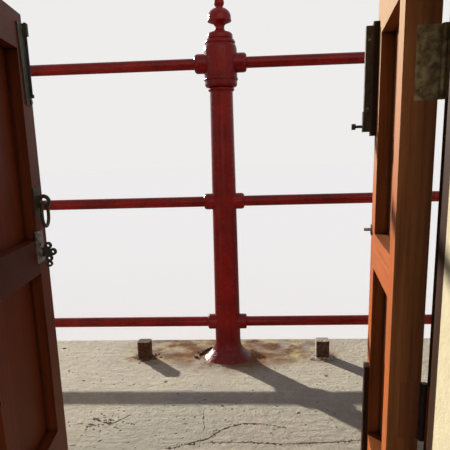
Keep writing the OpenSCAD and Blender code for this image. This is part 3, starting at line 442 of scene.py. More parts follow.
def tarnished_bronze(name, metal_colour, patina, shine, varnish_below=0.0):
    """Cast bronze left to the weather: brown metal under a dull skin, rubbed bright on its edges."""
    material, add = new_material(name)
    place = add("TexCoord", out="Object")
    blotch = add("TexNoise", {"Vector": place, "Scale": 1 / 0.014, "Detail": 4.0, "Roughness": 0.6})
    fine = add("TexNoise", {"Vector": place, "Scale": 1 / 0.002, "Detail": 2.0})
    skin = add("MapRange", {0: blotch, 1: 0.40, 2: 0.60, 3: 0.25, 4: 0.95})
    dull = add("Mix", {0: skin, 6: metal_colour, 7: linear(patina)}, **COLOUR_MIX)
    edge = add("AmbientOcclusion", {"Distance": 0.0025}, "AO", samples=6, inside=True, only_local=True)
    rub = add("MapRange", {0: edge, 1: 0.55, 2: 0.25, 3: 0.0, 4: shine})
    rub_here = add("MapRange", {0: fine, 1: 0.3, 2: 0.6})
    rubbed = add("Math", {0: rub, 1: rub_here}, operation="MULTIPLY")
    bright = add("Mix", {0: rubbed, 6: dull, 7: linear("#A08C5E")}, **COLOUR_MIX)
    # Low hinges were varnished over together with the timber, all but their knuckles
    height = add("SeparateXYZ", {0: place}, "Z")
    varnish = add("MapRange", {0: height, 1: varnish_below + 0.02, 2: varnish_below, 3: 0.0, 4: 0.95})
    spot = add("SeparateXYZ", {0: place}, "X")
    aside = add("Math", {0: add("Math", {0: spot}, operation="ABSOLUTE"), 1: PIN_X}, operation="SUBTRACT")
    beyond = add("Math", {0: add("SeparateXYZ", {0: place}, "Y"), 1: PIN_Y}, operation="SUBTRACT")
    pin_place = add("CombineXYZ", {"X": aside, "Y": beyond})
    from_pin = add("VectorMath", {0: pin_place}, "Value", operation="LENGTH")
    knuckle = add("MapRange", {0: from_pin, 1: 0.0085, 2: 0.0072})
    # Brush lines 9 mm apart, as coarse as the timber's grain beside them
    grain_place = add("VectorMath", {0: place, 1: (110.0, 110.0, 3.0)}, operation="MULTIPLY")
    brushed = add("TexNoise", {"Vector": grain_place, "Scale": 1.0, "Detail": 3.0})
    brown = add("Mix", {0: brushed, 6: linear("#6E3A1E"), 7: linear("#955129")}, **COLOUR_MIX)
    over = add("Mix", {0: knuckle, 6: brown, 7: linear("#33261F")}, **COLOUR_MIX)
    colour = add("Mix", {0: varnish, 6: bright, 7: over}, **COLOUR_MIX)
    cover = add("Math", {0: skin, 1: varnish}, operation="MAXIMUM")
    metal = add("MapRange", {0: cover, 1: 0.0, 2: 1.0, 3: 0.6, 4: 0.05})
    rough = add("MapRange", {0: blotch, 1: 0.2, 2: 0.8, 3: 0.45, 4: 0.68})
    relief_height = add("Math", {0: fine, 1: 0.5, 2: blotch}, operation="MULTIPLY_ADD")
    relief = add("Bump", {"Height": relief_height, "Distance": 0.0005})
    shader = add("BsdfPrincipled", {
        "Base Color": colour, "Roughness": rough, "Metallic": metal, "Normal": relief,
        "Specular IOR Level": 0.2})
    add("OutputMaterial", {"Surface": shader})
    return material


def bare_steel(name, colours, inward=(0.0, 0.0, 0.0), turn_from=1.0):
    """Rolled steel plate rubbed by use: streaky and spotted with rust. What stands proud is dark bronze."""
    material, add = new_material(name)
    place = add("TexCoord", out="Object")
    # Rolling lines 1 mm apart and 22 mm long
    drawn = add("VectorMath", {0: place, 1: (900.0, 900.0, 45.0)}, operation="MULTIPLY")
    streaks = add("TexNoise", {"Vector": drawn, "Scale": 1.0, "Detail": 3.0, "Roughness": 0.6})
    blotch = add("TexNoise", {"Vector": place, "Scale": 1 / 0.012, "Detail": 4.0, "Roughness": 0.6})
    streaky = add("MapRange", {0: streaks, 1: 0.35, 2: 0.62})
    base = add("Mix", {0: streaky, 6: linear("#5A524D"), 7: colours.steel}, **COLOUR_MIX)
    rust = add("MapRange", {0: blotch, 1: 0.46, 2: 0.62, 3: 0.0, 4: 0.9})
    colour = add("Mix", {0: rust, 6: base, 7: linear("#4A342C")}, **COLOUR_MIX)
    proud = add("VectorMath", {0: place, 1: inward}, "Value", operation="DOT_PRODUCT")
    turn = add("MapRange", {0: proud, 1: turn_from, 2: turn_from + 0.001})
    bronze = add("Mix", {0: blotch, 6: linear("#1E1A15"), 7: linear("#423D32")}, **COLOUR_MIX)
    both = add("Mix", {0: turn, 6: colour, 7: bronze}, **COLOUR_MIX)
    dull = add("Math", {0: turn, 1: 0.6}, operation="MULTIPLY")
    cover = add("Math", {0: rust, 1: dull}, operation="MAXIMUM")
    metal = add("MapRange", {0: cover, 1: 0.0, 2: 1.0, 3: 1.0, 4: 0.2})
    shiny = add("MapRange", {0: streaks, 1: 0.2, 2: 0.8, 3: 0.25, 4: 0.42})
    rough = add("Math", {0: cover, 1: 0.45, 2: shiny}, operation="MULTIPLY_ADD")
    relief_height = add("Math", {0: streaks, 1: blotch}, operation="ADD")
    relief = add("Bump", {"Height": relief_height, "Distance": 0.0003})
    shader = add("BsdfPrincipled", {
        "Base Color": both, "Roughness": rough, "Metallic": metal, "Normal": relief})
    add("OutputMaterial", {"Surface": shader})
    return material


def packed_dirt():
    """Wind-blown dirt and iron dust packed into cracks: dark, matt and crumbly."""
    material, add = new_material("packed_dirt")
    place = add("TexCoord", out="Object")
    crumbs = add("TexNoise", {"Vector": place, "Scale": 1 / 0.003, "Detail": 3.0, "Roughness": 0.6})
    colour = add("Mix", {0: crumbs, 6: linear("#2E261C"), 7: linear("#6A5C47")}, **COLOUR_MIX)
    relief = add("Bump", {"Height": crumbs, "Distance": 0.001})
    shader = add("BsdfPrincipled", {
        "Base Color": colour, "Roughness": 0.95, "Normal": relief, "Specular IOR Level": 0.2})
    add("OutputMaterial", {"Surface": shader})
    return material


def dress(node, material):
    """Gives a node of the frame its finish."""
    slots = frame["nodes"][node].data.materials
    if not slots:
        slots.append(material)
    for i in range(len(slots)):
        slots[i] = material


def ease(node, width):
    """Rubs a node's sharp arrises down."""
    bevel = frame["nodes"][node].modifiers.new("arris", "BEVEL")
    bevel.width = width
    bevel.segments = 2
    bevel.limit_method = "ANGLE"
    bevel.angle_limit = math.radians(40)


def piece(name, mesh_maker, body, material):
    """A new object whose mesh the maker draws in a bmesh."""
    draft = bmesh.new()
    mesh_maker(draft)
    bmesh.ops.recalc_face_normals(draft, faces=draft.faces[:])
    mesh = bpy.data.meshes.new(name)
    draft.to_mesh(mesh)
    draft.free()
    made = bpy.data.objects.new(name, mesh)
    bpy.context.scene.collection.objects.link(made)
    mesh.materials.append(material)
    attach(made, body)
    return made


def leaf_axes(side):
    """A leaf's own directions at rest: to its free edge, and out of its inner face."""
    to_edge = Vector((-side * math.cos(OPEN_ANGLE), math.sin(OPEN_ANGLE), 0))
    inward = Vector((-side * math.sin(OPEN_ANGLE), -math.cos(OPEN_ANGLE), 0))
    return to_edge, inward


def on_leaf(side, from_pin, proud, height):
    """A point on a leaf: from the pin towards the free edge, proud of the inner face, over the walkway."""
    to_edge, inward = leaf_axes(side)
    pin = Vector((side * PIN_X, PIN_Y, DECK_TOP + height))
    return pin + to_edge * from_pin + inward * (PIN_OUT + LEAF_T + proud)


def screw(draft, centre, normal, width, turn, proud=0.6 * MM):
    """A countersunk head with a sawn slot: two half discs over a floor."""
    z = normal.normalized()
    x = z.orthogonal().normalized()
    frame_at = Matrix((x, z.cross(x), z)).transposed().to_4x4()
    frame_at.translation = centre
    turned = frame_at @ Matrix.Rotation(turn, 4, "Z")
    radius = width / 2
    half_slot = width * 0.075
    start = math.asin(half_slot / radius)
    steps = 8
    for half in (1, -1):
        rings = []
        for grow, lift in ((1.0, -proud), (1.0, proud * 0.6), (0.86, proud)):
            arc = []
            for i in range(steps + 1):
                a = start + (math.pi - 2 * start) * i / steps
                u, v = radius * grow * math.cos(a), max(radius * grow * math.sin(a), half_slot)
                arc.append(draft.verts.new(turned @ Vector((half * u, half * v, lift))))
            rings.append(arc)
        for low, high in zip(rings, rings[1:]):
            for i in range(steps + 1):
                j = (i + 1) % (steps + 1)
                draft.faces.new((low[i], low[j], high[j], high[i]))
        draft.faces.new(rings[-1])
        draft.faces.new(rings[0][::-1])
    sides = 16
    discs = []
    for level in (-proud * 0.2, -proud * 1.5):
        angles = [math.tau * i / sides for i in range(sides)]
        discs.append([
            draft.verts.new(turned @ Vector((radius * math.cos(a), radius * math.sin(a), level)))
            for a in angles])
    floor, under = discs
    draft.faces.new(floor)
    draft.faces.new(under[::-1])
    for i in range(sides):
        j = (i + 1) % sides
        draft.faces.new((under[i], under[j], floor[j], floor[i]))


def bedding(draft, x, y, inner, width, height, seed, lumps=0.35, steps=96):
    """A ragged low ring of mortar or crust on the walkway, round a foot."""
    rings = 5
    # It starts inside the foot, and its underside lies inside the walkway
    tuck, sink = 4 * MM, 0.5 * MM
    rows = []
    for i in range(steps):
        a = math.tau * i / steps
        spot = Vector((math.cos(a) * 2, math.sin(a) * 2, seed))
        reach = width * (1 + lumps * 2 * noise.noise(spot * 1.7) + lumps * noise.noise(spot * 5))
        top, bottom = [], []
        for k in range(rings + 1):
            t = k / rings
            r = inner - tuck + (reach + tuck) * t
            rise = height * (1 - t) ** 0.7 * (1 + lumps * noise.noise(spot * 9 + Vector((t, 0, 0))))
            spot_x, spot_y = x + r * math.cos(a), y + r * math.sin(a)
            top.append(draft.verts.new((spot_x, spot_y, DECK_TOP + max(rise, 0.2 * MM))))
            bottom.append(draft.verts.new((spot_x, spot_y, DECK_TOP - sink)))
        rows.append(top + bottom[::-1])
    size = len(rows[0])
    for i in range(steps):
        near, far = rows[i], rows[(i + 1) % steps]
        for k in range(size):
            draft.faces.new((near[k], near[(k + 1) % size], far[(k + 1) % size], far[k]))


def sliver(draft, path, width, height, seed):
    """A thin ragged ridge on the walkway along a path, which tapers away at both ends."""
    points = []
    for (x0, y0), (x1, y1) in zip(path, path[1:]):
        parts = max(1, round(math.dist((x0, y0), (x1, y1)) / (7 * MM)))
        points += [(x0 + (x1 - x0) * i / parts, y0 + (y1 - y0) * i / parts) for i in range(parts)]
    points.append(path[-1])
    last = len(points) - 1
    down = Vector((0, 0, CHIP_SINK))
    rows = []
    for i, (x, y) in enumerate(points):
        before, after = points[max(i - 1, 0)], points[min(i + 1, last)]
        ahead = Vector((after[0] - before[0], after[1] - before[1], 0)).normalized()
        aside = Vector((-ahead.y, ahead.x, 0))
        spot = Vector((x * 60, y * 60, seed))
        taper = min(1.0, 4 * i / last, 4 * (last - i) / last) * 0.9 + 0.1
        half = width / 2 * taper * max(0.15, 1 + 2.4 * noise.noise(spot))
        sway = 2.2 * MM * taper * noise.noise(spot * 0.7 + Vector((5, 0, 0)))
        middle = Vector((x, y, DECK_TOP)) + aside * sway
        rows.append([draft.verts.new(p) for p in (
            middle - aside * half - down, middle + Vector((0, 0, height * taper)),
            middle + aside * half - down)])
    for near, far in zip(rows, rows[1:]):
        for k in range(3):
            draft.faces.new((near[k], near[(k + 1) % 3], far[(k + 1) % 3], far[k]))
    draft.faces.new(rows[0])
    draft.faces.new(rows[-1][::-1])


def chip(draft, x, y, size, thick, dice):
    """A ragged flake that lies on the walkway."""
    sides = 7
    turn = dice.uniform(0, math.tau)
    long = dice.uniform(1.0, 1.9)
    rings = [[], [], []]
    for i in range(sides):
        a = math.tau * i / sides
        reach = size / 2 * dice.uniform(0.6, 1.15)
        u, v = reach * long * math.cos(a), reach * math.sin(a)
        at = (x + u * math.cos(turn) - v * math.sin(turn), y + u * math.sin(turn) + v * math.cos(turn))
        lift = thick * dice.uniform(0.6, 1.3)
        for ring, grow, level in zip(rings, (1.0, 1.0, 0.6), (-CHIP_SINK, lift * 0.5, lift)):
            ring.append(draft.verts.new((x + (at[0] - x) * grow, y + (at[1] - y) * grow, DECK_TOP + level)))
    for low, high in zip(rings, rings[1:]):
        for i in range(sides):
            j = (i + 1) % sides
            draft.faces.new((low[i], low[j], high[j], high[i]))
    draft.faces.new(rings[0][::-1])
    draft.faces.new(rings[2])


def build_masonry(colours):
    """Concrete for the walkway, and limewashed render with eased corners for the walls."""
    dress("gallery_deck", weathered_concrete(colours))
    render = limewashed_render(colours)
    for node in ("wall_left", "wall_right", "wall_over_door"):
        dress(node, render)
        ease(node, 5 * MM)


def build_ironwork(colours):
    """Enamel for the posts and rails, and rust for the sawn-off bars."""
    # Brush lines 3.3 mm apart and 50 mm long run up the posts and along the pipes
    across, along = 300.0, 20.0
    cast = enamel_on_iron("brushed_enamel_on_cast_iron", colours, (across, across, along))
    for node in ("left_post", "middle_post", "right_post", "post_feet", "post_finials"):
        dress(node, cast)
    pipe = enamel_on_iron("brushed_enamel_on_steel_pipe", colours, (along, across, across))
    for node in ("top_rails", "middle_rails", "bottom_rails"):
        dress(node, pipe)
    dress("deck_stubs", rusted_iron(colours))
    ease("deck_stubs", 3 * MM)


def build_leaf(side, leaf, light, dark, colours, arris):
    """Varnish for the boards of one leaf, each with its own grain."""
    turn = OPEN_ANGLE if side < 0 else math.pi - OPEN_ANGLE
    inward = tuple(leaf_axes(side)[1])
    for i, (board, along) in enumerate(LEAF_BOARDS.items()):
        painted_light = None
        if side > 0 and "panel" not in board:
            # Painted sunlight on the right leaf's rails and stiles, which stand in the sun; its panels lie
            # back in shade and get none
            painted_light = (inward, colours.timber_painted_sunlight, linear("#A04C20"), 1.0)
        elif side < 0 and board == "lock_rail":
            # Painted shade: the left leaf's lock rail is darker on its inner face
            painted_light = (inward, linear("#4A200E"), linear("#281007"), 0.0)
        dress(f"{leaf}_leaf_{board}", varnished_timber(
            f"varnished_hardwood_{leaf}_{board}", light, dark, colours, turn, along,
            11.0 * i + 100 * (side + 1), painted_light))
        ease(f"{leaf}_leaf_{board}", arris)


def build_joinery(colours, sizes):
    """Varnish for the two leaves, and oiled timber for the frame and the bolt's blocks."""
    # Painted shade and light: the left leaf gets darker timber, the right leaf lighter
    build_leaf(-1, "left", colours.timber, colours.timber_dark, colours, sizes.timber_arris)
    build_leaf(1, "right", colours.timber_lit_leaf, linear("#603619"), colours, sizes.timber_arris)
    # The frame's dark timber is partly painted shade on the jamb's stop
    frame_dark = linear("#26170F")
    for node, name, along, seed in (
            ("frame_left_jamb", "oiled_hardwood_left_jamb", "z", 299),
            ("frame_right_jamb", "oiled_hardwood_right_jamb", "z", 301),
            ("frame_head", "oiled_hardwood_head", "x", 320),
            ("door_sill", "oiled_hardwood_sill", "x", 330)):
        dress(node, varnished_timber(name, colours.frame_timber, frame_dark, colours, 0, along, seed))
    dress("right_bolt_blocks", varnished_timber(
        "oiled_hardwood_blocks", linear("#36221A"), frame_dark, colours, math.pi - OPEN_ANGLE, "z", 340))
    for node in ("frame_left_jamb", "frame_right_jamb", "frame_head", "right_bolt_blocks"):
        ease(node, sizes.timber_arris)


def build_hardware(colours):
    """Bronze for the hinges, bolts and ring, and steel for the lock plate and the catch."""
    hinge = tarnished_bronze("cast_bronze_hinge", linear("#94825A"), "#5E4A2E", 0.7, varnish_below=0.65)
    for node in ("left_frame_hinges", "right_frame_hinges", "left_leaf_hinges", "right_leaf_hinges"):
        dress(node, hinge)
    dress("left_bolt_plate", tarnished_bronze("verdigris_bronze_plate", colours.bronze, "#3C433B", 0.6))
    dress("left_bolt", tarnished_bronze("black_bronze_rod", linear("#4A424A"), "#2E2A33", 0.4))
    dark = tarnished_bronze("dark_oiled_bronze", linear("#4E4636"), "#332E24", 0.5)
    for node in ("left_ring_plate", "left_ring", "right_bolt_case", "right_bolt"):
        dress(node, dark)
    # The turn stands more than 7 mm proud of the left leaf's inner face
    inward = leaf_axes(-1)[1]
    turn_from = on_leaf(-1, 0, 7 * MM, 0).dot(inward)
    dress("left_lock", bare_steel("rolled_steel_lock_plate", colours, tuple(inward), turn_from))
    dress("right_catch", bare_steel("rolled_steel_catch", colours))


def build_fixings(sizes):
    """Slotted screws in the hinges, bolts and plates."""
    dice = random.Random(7)
    materials = bpy.data.materials
    hinge = materials["cast_bronze_hinge"]
    for side, leaf in ((-1, "left"), (1, "right")):
        to_edge, inward = leaf_axes(side)

        def leaf_hinge_screws(draft):
            for middle in HINGE_MIDDLES:
                for over, depth in HINGE_SCREWS:
                    at = on_leaf(side, LEAF_X0, 0, middle + over * MM) - inward * (LEAF_T - depth * MM)
                    screw(draft, at, -to_edge, sizes.hinge_screw, dice.uniform(0, math.pi))

        def jamb_hinge_screws(draft):
            for middle in HINGE_MIDDLES:
                for over, depth in HINGE_SCREWS:
                    at = Vector((side * JAMB_X, WALL_Y - depth * MM, DECK_TOP + middle + over * MM))
                    screw(draft, at, Vector((-side, 0, 0)), sizes.hinge_screw, dice.uniform(0, math.pi))

        piece(f"{leaf}_leaf_hinge_screws", leaf_hinge_screws, f"{leaf}_leaf", hinge)
        piece(f"{leaf}_jamb_hinge_screws", jamb_hinge_screws, "gallery", hinge)

    # Screws in the plates on the left leaf's inner face: from the pin and over the walkway, in mm
    plate_t = 3 * MM
    plates = {
        "left_bolt_plate_screws": ("verdigris_bronze_plate", "dark_bronze",
                                   ((346.5, 1066), (368, 1066), (352, 985), (359, 911), (368, 948))),
        "left_ring_plate_screws": ("dark_oiled_bronze", "dark_bronze",
                                   ((336, 713), (373, 713), (336, 659), (373, 659))),
        "left_lock_plate_screws": ("rolled_steel_lock_plate", "bright_steel",
                                   ((320.5, 613), (361.5, 613), (320.5, 553), (361.5, 553))),
    }
    for name, (finish, slot, spots) in plates.items():

        def plate_screws(draft):
            for s, z in spots:
                at = on_leaf(-1, s * MM, plate_t, z * MM)
                screw(draft, at, leaf_axes(-1)[1], sizes.plate_screw, dice.uniform(0, 3))

        piece(name, plate_screws, "left_leaf", materials[finish])

    def case_screws(draft):
        # In the side of the case that looks back to the pin
        for z in (871, 1012):
            at = on_leaf(1, 372.5 * MM, 20 * MM, z * MM)
            screw(draft, at, -leaf_axes(1)[0], 6 * MM, dice.uniform(0, 3))

    piece("right_case_screws", case_screws, "right_leaf", hinge)


def wear_of_iron(dice, bed_width):
    """Bedding, blown rust and crust round the posts' feet and the sawn-off bars."""
    concrete = bpy.data.materials["weathered_float_finished_concrete"]
    rust = bpy.data.materials["scaled_wrought_iron"]

    def foot_beds(draft):
        for seed, x in enumerate(POST_XS, 3):
            bedding(draft, x, 0, FOOT_R, bed_width, 4 * MM, seed)

    piece("post_foot_bedding", foot_beds, "gallery", concrete)

    # Blown rust stands up on both sides of each foot: dark on the left, stained crumbs on the right.
    # Each has the angle it lies round, how widely it is spread there, and its flakes
    for name, middle, spread, count, slot, material in (
            ("post_foot_rust_flakes", 2.55, 0.30, 70, "rusted_iron", rust),
            ("post_foot_spalled_crumbs", 0.18, 0.20, 60, "concrete", concrete)):

        def foot_crust(draft):
            for x in POST_XS:
                for _ in range(count):
                    a = dice.gauss(middle, spread)
                    r = FOOT_R - 2 * MM + abs(dice.gauss(0, 16 * MM))
                    chip(draft, x + r * math.cos(a), r * math.sin(a), dice.uniform(5, 13) * MM,
                         dice.uniform(3, 9) * MM, dice)

        piece(name, foot_crust, "gallery", material)

    def stub_crust(draft):
        for seed, x in enumerate(STUB_XS, 20):
            bedding(draft, x, 0, STUB_W * 0.62, 16 * MM, 5 * MM, seed, lumps=0.7, steps=48)
            for _ in range(18):
                a = dice.uniform(0, math.tau)
                r = STUB_W * 0.6 + abs(dice.gauss(0, 20 * MM))
                chip(draft, x + r * math.cos(a), r * math.sin(a), dice.uniform(4, 10) * MM,
                     dice.uniform(1, 4) * MM, dice)

    piece("stub_rust_crust", stub_crust, "gallery", rust)


def wear_of_walkway(dice):
    """Cracks, gouges and flakes, with the main ones where the photograph shows them."""
    dirt = packed_dirt()

    def hairlines(draft):
        # Each crack's way over the walkway in metres, and its width in mm
        cracks = (
            (((-0.135, -0.712), (-0.111, -0.699), (-0.080, -0.682), (-0.026, -0.654), (0.010, -0.601),
              (0.067, -0.561), (0.133, -0.563), (0.203, -0.587)), 6.2),
            (((-0.080, -0.684), (-0.058, -0.682), (0.020, -0.670), (0.110, -0.674), (0.192, -0.679),
              (0.331, -0.667), (0.404, -0.655), (0.60, -0.690)), 4.8),
            (((-1.35, -0.31), (-1.21, -0.36), (-1.06, -0.33), (-0.93, -0.40)), 4.5),
            (((0.98, -0.72), (1.10, -0.60), (1.22, -0.57), (1.38, -0.49)), 4.5),
        )
        for seed, (path, width) in enumerate(cracks, 1):
            sliver(draft, path, width * MM, 0.8 * MM, seed)
            # Crumbs lie along it
            for _ in range(10 * len(path)):
                (x0, y0), (x1, y1) = dice.choice(tuple(zip(path, path[1:])))
                t = dice.random()
                x, y = x0 + (x1 - x0) * t + dice.gauss(0, 5 * MM), y0 + (y1 - y0) * t + dice.gauss(0, 4 * MM)
                chip(draft, x, y, dice.uniform(2, 6) * MM, 0.7 * MM, dice)
        scratch = ((-0.053, -0.472), (-0.049, -0.539), (-0.040, -0.577), (-0.042, -0.613))
        sliver(draft, scratch, 4 * MM, 0.8 * MM, 5)

    piece("deck_hairlines", hairlines, "gallery", dirt)

    def gouges(draft):
        # Both ends of each cut in metres, and its width in mm
        cuts = (
            ((-0.400, -0.567), (-0.363, -0.577), 7.5), ((-0.395, -0.524), (-0.357, -0.556), 10.5),
            ((-0.357, -0.556), (-0.321, -0.564), 10.5), ((-0.328, -0.573), (-0.275, -0.498), 4.5),
            ((-0.384, -0.528), (-0.369, -0.536), 7.5), ((-0.368, -0.508), (-0.351, -0.517), 6),
            ((-0.402, -0.580), (-0.377, -0.582), 6), ((-0.309, -0.588), (-0.294, -0.594), 6),
            ((-0.287, -0.550), (-0.279, -0.556), 7.5), ((-0.257, -0.520), (-0.244, -0.523), 6),
            ((-0.070, -0.402), (-0.049, -0.396), 9), ((-0.004, -0.440), (0.012, -0.446), 9),
            ((0.043, -0.425), (0.053, -0.430), 9), ((-0.107, -0.563), (-0.089, -0.567), 6),
            ((-0.098, -0.383), (-0.087, -0.386), 6), ((-0.013, -0.611), (0.001, -0.601), 7.5),
            ((-0.338, -0.674), (-0.324, -0.660), 6), ((-0.411, -0.697), (-0.392, -0.686), 6),
        )
        for seed, (start, end, width) in enumerate(cuts, 30):
            sliver(draft, (start, end), width * MM, 1 * MM, seed)

    piece("deck_gouges", gouges, "gallery", dirt)

    def flakes(draft):
        for x, y, size in ((0.242, -0.491, 9), (0.362, -0.199, 10), (-0.710, 0.108, 14), (-0.213, -0.250, 9),
                           (-0.601, -0.144, 11), (-0.516, -0.237, 12)):
            chip(draft, x, y, size * MM, 1.5 * MM, dice)
        # Many lie by the gouges, and the rest anywhere
        for _ in range(45):
            x, y = dice.gauss(-0.345, 0.045), dice.gauss(-0.55, 0.028)
            chip(draft, x, y, dice.uniform(3, 7) * MM, 1 * MM, dice)
        for _ in range(90):
            x, y = dice.uniform(-1.5, 1.5), dice.uniform(-1.08, 0.18)
            chip(draft, x, y, dice.uniform(2.5, 5.5) * MM, 1 * MM, dice)

    piece("deck_flakes", flakes, "gallery", dirt)


def build_wear(sizes):
    """Bedding, crust, cracks and flakes on the walkway."""
    dice = random.Random(11)
    wear_of_iron(dice, sizes.bedding)
    wear_of_walkway(dice)


def place_camera(scene):
    """The camera, where the photograph was taken from: inside the doorway, looking out and down a little."""
    # All its values were solved from the door's edges, the rails and the slab's edge in the photograph
    lens = bpy.data.cameras.new("camera")
    lens.sensor_width = 36
    lens.lens = 43.52
    lens.shift_y = 0.1358
    lens.clip_start = 0.02
    lens.clip_end = 200
    camera = bpy.data.objects.new("camera", lens)
    scene.collection.objects.link(camera)
    scene.camera = camera
    yaw, pitch, roll = (math.radians(d) for d in (-3.814, 13.223, -1.624))
    ahead = Vector((math.sin(yaw) * math.cos(pitch), math.cos(yaw) * math.cos(pitch), -math.sin(pitch)))
    level = Vector((math.cos(yaw), -math.sin(yaw), 0))
    above = level.cross(ahead)
    across = level * math.cos(roll) + above * math.sin(roll)
    up = above * math.cos(roll) - level * math.sin(roll)
    pose = Matrix((across, up, -ahead)).transposed().to_4x4()
    pose.translation = Vector((0.130, -2.0489, 0.9231))
    camera.matrix_world = pose


def hang_sun(scene, name, energy, width, towards, colour=(1.0, 1.0, 1.0)):
    """A sun lamp, with its width in the sky in degrees and the direction it stands in."""
    lamp = bpy.data.lights.new(name, "SUN")
    lamp.energy = energy
    lamp.angle = math.radians(width)
    lamp.color = colour
    hung = bpy.data.objects.new(name, lamp)
    scene.collection.objects.link(hung)
    hung.rotation_euler = Vector(towards).to_track_quat("Z", "Y").to_euler()


def wrap_studio(scene):
    """An even pale studio all round."""
    world = bpy.data.worlds.new("studio")
    scene.world = world
    world.use_nodes = True
    world.node_tree.nodes.clear()
    add = functools.partial(add_node, world.node_tree)
    # What the camera, metal and gloss see is the pale studio; what lights the object is softer
    camera_ray = add("LightPath", out="Is Camera Ray")
    glossy_ray = add("LightPath", out="Is Glossy Ray")
    through_ray = add("LightPath", out="Is Transmission Ray")
    seen = add("Math", {0: camera_ray, 1: glossy_ray}, operation="MAXIMUM")
    seen_through = add("Math", {0: seen, 1: through_ray}, operation="MAXIMUM")
    soft = add("Background", {"Color": linear("#B6C9FF"), "Strength": 0.15})
    pale = add("Background", {"Color": linear("#EEEDEC"), "Strength": 1.0})
    both = add("MixShader", {0: seen_through, 1: soft, 2: pale})
    add("OutputWorld", {"Surface": both})


def lay_floor(scene):
    """A plain pale floor of matt paint, which takes the object's shadow."""
    floor_mesh = bpy.data.meshes.new("floor")
    reach = 60
    floor_mesh.from_pydata([(-reach, -reach, 0), (reach, -reach, 0), (reach, reach, 0), (-reach, reach, 0)],
                           [], [(0, 1, 2, 3)])
    floor = bpy.data.objects.new("floor", floor_mesh)
    scene.collection.objects.link(floor)
    material, add = new_material("painted_studio_floor")
    place = add("TexCoord", out="Object")
    texture = add("TexNoise", {"Vector": place, "Scale": 1 / 0.01, "Detail": 2.0})
    relief = add("Bump", {"Height": texture, "Distance": 0.0001})
    # The camera sees the floor as pale as the studio round it, with the object's shadow on it
    camera_ray = add("LightPath", out="Is Camera Ray")
    lift = add("Math", {0: camera_ray, 1: 0.228}, operation="MULTIPLY")
    # And little light comes back up from it, as over dark ground
    pale = add("Mix", {0: camera_ray, 6: linear("#9C9A96"), 7: linear("#F4F4F2")}, **COLOUR_MIX)
    shader = add("BsdfPrincipled", {
        "Base Color": pale, "Roughness": 0.95, "Normal": relief, "Specular IOR Level": 0.0,
        "Emission Color": linear("#FFFFFF"), "Emission Strength": lift})
    add("OutputMaterial", {"Surface": shader})
    floor_mesh.materials.append(material)


def build_stage():
    """The camera, a low sun over the railing with a soft fill, an even studio and a plain pale floor."""
    scene = bpy.context.scene
    scene.view_settings.view_transform = "Standard"
    place_camera(scene)
    # The key stands low over the railing from the left, where the photograph's shadows point back to
    hang_sun(scene, "key", 5.8, 1.2, (-0.589, 0.754, 0.292), (1.0, 0.94, 0.85))
    hang_sun(scene, "fill", 0.85, 60, (0.25, -0.93, 0.27))
    wrap_studio(scene)
    lay_floor(scene)


class GALLERY_OT_masonry(bpy.types.Operator):
    """Finish the walkway slab and the walls"""

    bl_idname = "gallery.masonry"
    bl_label = "Slab and walls"

    def execute(self, context):
        build_masonry(context.scene.gallery_colours)
        return {"FINISHED"}


class GALLERY_OT_ironwork(bpy.types.Operator):
    """Finish the posts, the rails and the sawn-off bars"""

    bl_idname = "gallery.ironwork"
    bl_label = "Posts and rails"

    def execute(self, context):
        build_ironwork(context.scene.gallery_colours)
        return {"FINISHED"}


class GALLERY_OT_joinery(bpy.types.Operator):
    """Finish the leaves and their frame"""

    bl_idname = "gallery.joinery"
    bl_label = "Door and frame"

    def execute(self, context):
        build_joinery(context.scene.gallery_colours, context.scene.gallery_sizes)
        return {"FINISHED"}


class GALLERY_OT_hardware(bpy.types.Operator):
    """Finish the hinges, bolts, ring and lock"""

    bl_idname = "gallery.hardware"
    bl_label = "Hinges and bolts"

    def execute(self, context):
        build_hardware(context.scene.gallery_colours)
        return {"FINISHED"}


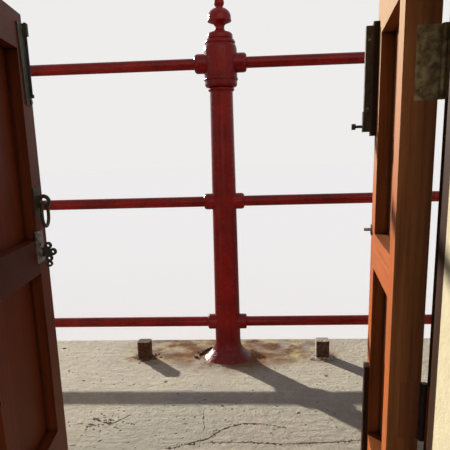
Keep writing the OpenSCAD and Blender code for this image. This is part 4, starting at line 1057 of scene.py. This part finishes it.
class GALLERY_OT_fixings(bpy.types.Operator):
    """Add the screws of the hinges and plates"""

    bl_idname = "gallery.fixings"
    bl_label = "Screws"

    def execute(self, context):
        build_fixings(context.scene.gallery_sizes)
        return {"FINISHED"}


class GALLERY_OT_wear(bpy.types.Operator):
    """Add bedding, crust, cracks and flakes on the walkway"""

    bl_idname = "gallery.wear"
    bl_label = "Walkway wear"

    def execute(self, context):
        build_wear(context.scene.gallery_sizes)
        return {"FINISHED"}


class GALLERY_OT_stage(bpy.types.Operator):
    """Add the camera, the light and the floor"""

    bl_idname = "gallery.stage"
    bl_label = "Camera and light"

    def execute(self, context):
        build_stage()
        return {"FINISHED"}


OPERATORS = (
    GALLERY_OT_stage, GALLERY_OT_masonry, GALLERY_OT_ironwork, GALLERY_OT_joinery,
    GALLERY_OT_hardware, GALLERY_OT_fixings, GALLERY_OT_wear,
)


class GALLERY_PT_panel(bpy.types.Panel):
    """Lists the steps and the values they use"""

    bl_idname = "GALLERY_PT_panel"
    bl_label = "Gallery section"
    bl_space_type = "VIEW_3D"
    bl_region_type = "UI"
    bl_category = "Gallery"

    def draw(self, context):
        for group in (context.scene.gallery_colours, context.scene.gallery_sizes):
            for key in group.__annotations__:
                self.layout.prop(group, key)
        for operator in OPERATORS:
            self.layout.operator(operator.bl_idname)


CLASSES = (GalleryColours, GallerySizes, *OPERATORS, GALLERY_PT_panel)


def register():
    """Registers the classes, and puts the panel's values on the scene."""
    for item in CLASSES:
        bpy.utils.register_class(item)
    bpy.types.Scene.gallery_colours = bpy.props.PointerProperty(type=GalleryColours)
    bpy.types.Scene.gallery_sizes = bpy.props.PointerProperty(type=GallerySizes)


def unregister():
    """Takes both away again."""
    del bpy.types.Scene.gallery_colours
    del bpy.types.Scene.gallery_sizes
    for item in reversed(CLASSES):
        bpy.utils.unregister_class(item)


def main():
    """Dresses the part."""
    register()
    bpy.ops.gallery.stage()
    bpy.ops.gallery.masonry()
    bpy.ops.gallery.ironwork()
    bpy.ops.gallery.joinery()
    bpy.ops.gallery.hardware()
    bpy.ops.gallery.fixings()
    bpy.ops.gallery.wear()


if __name__ == "__main__":
    main()
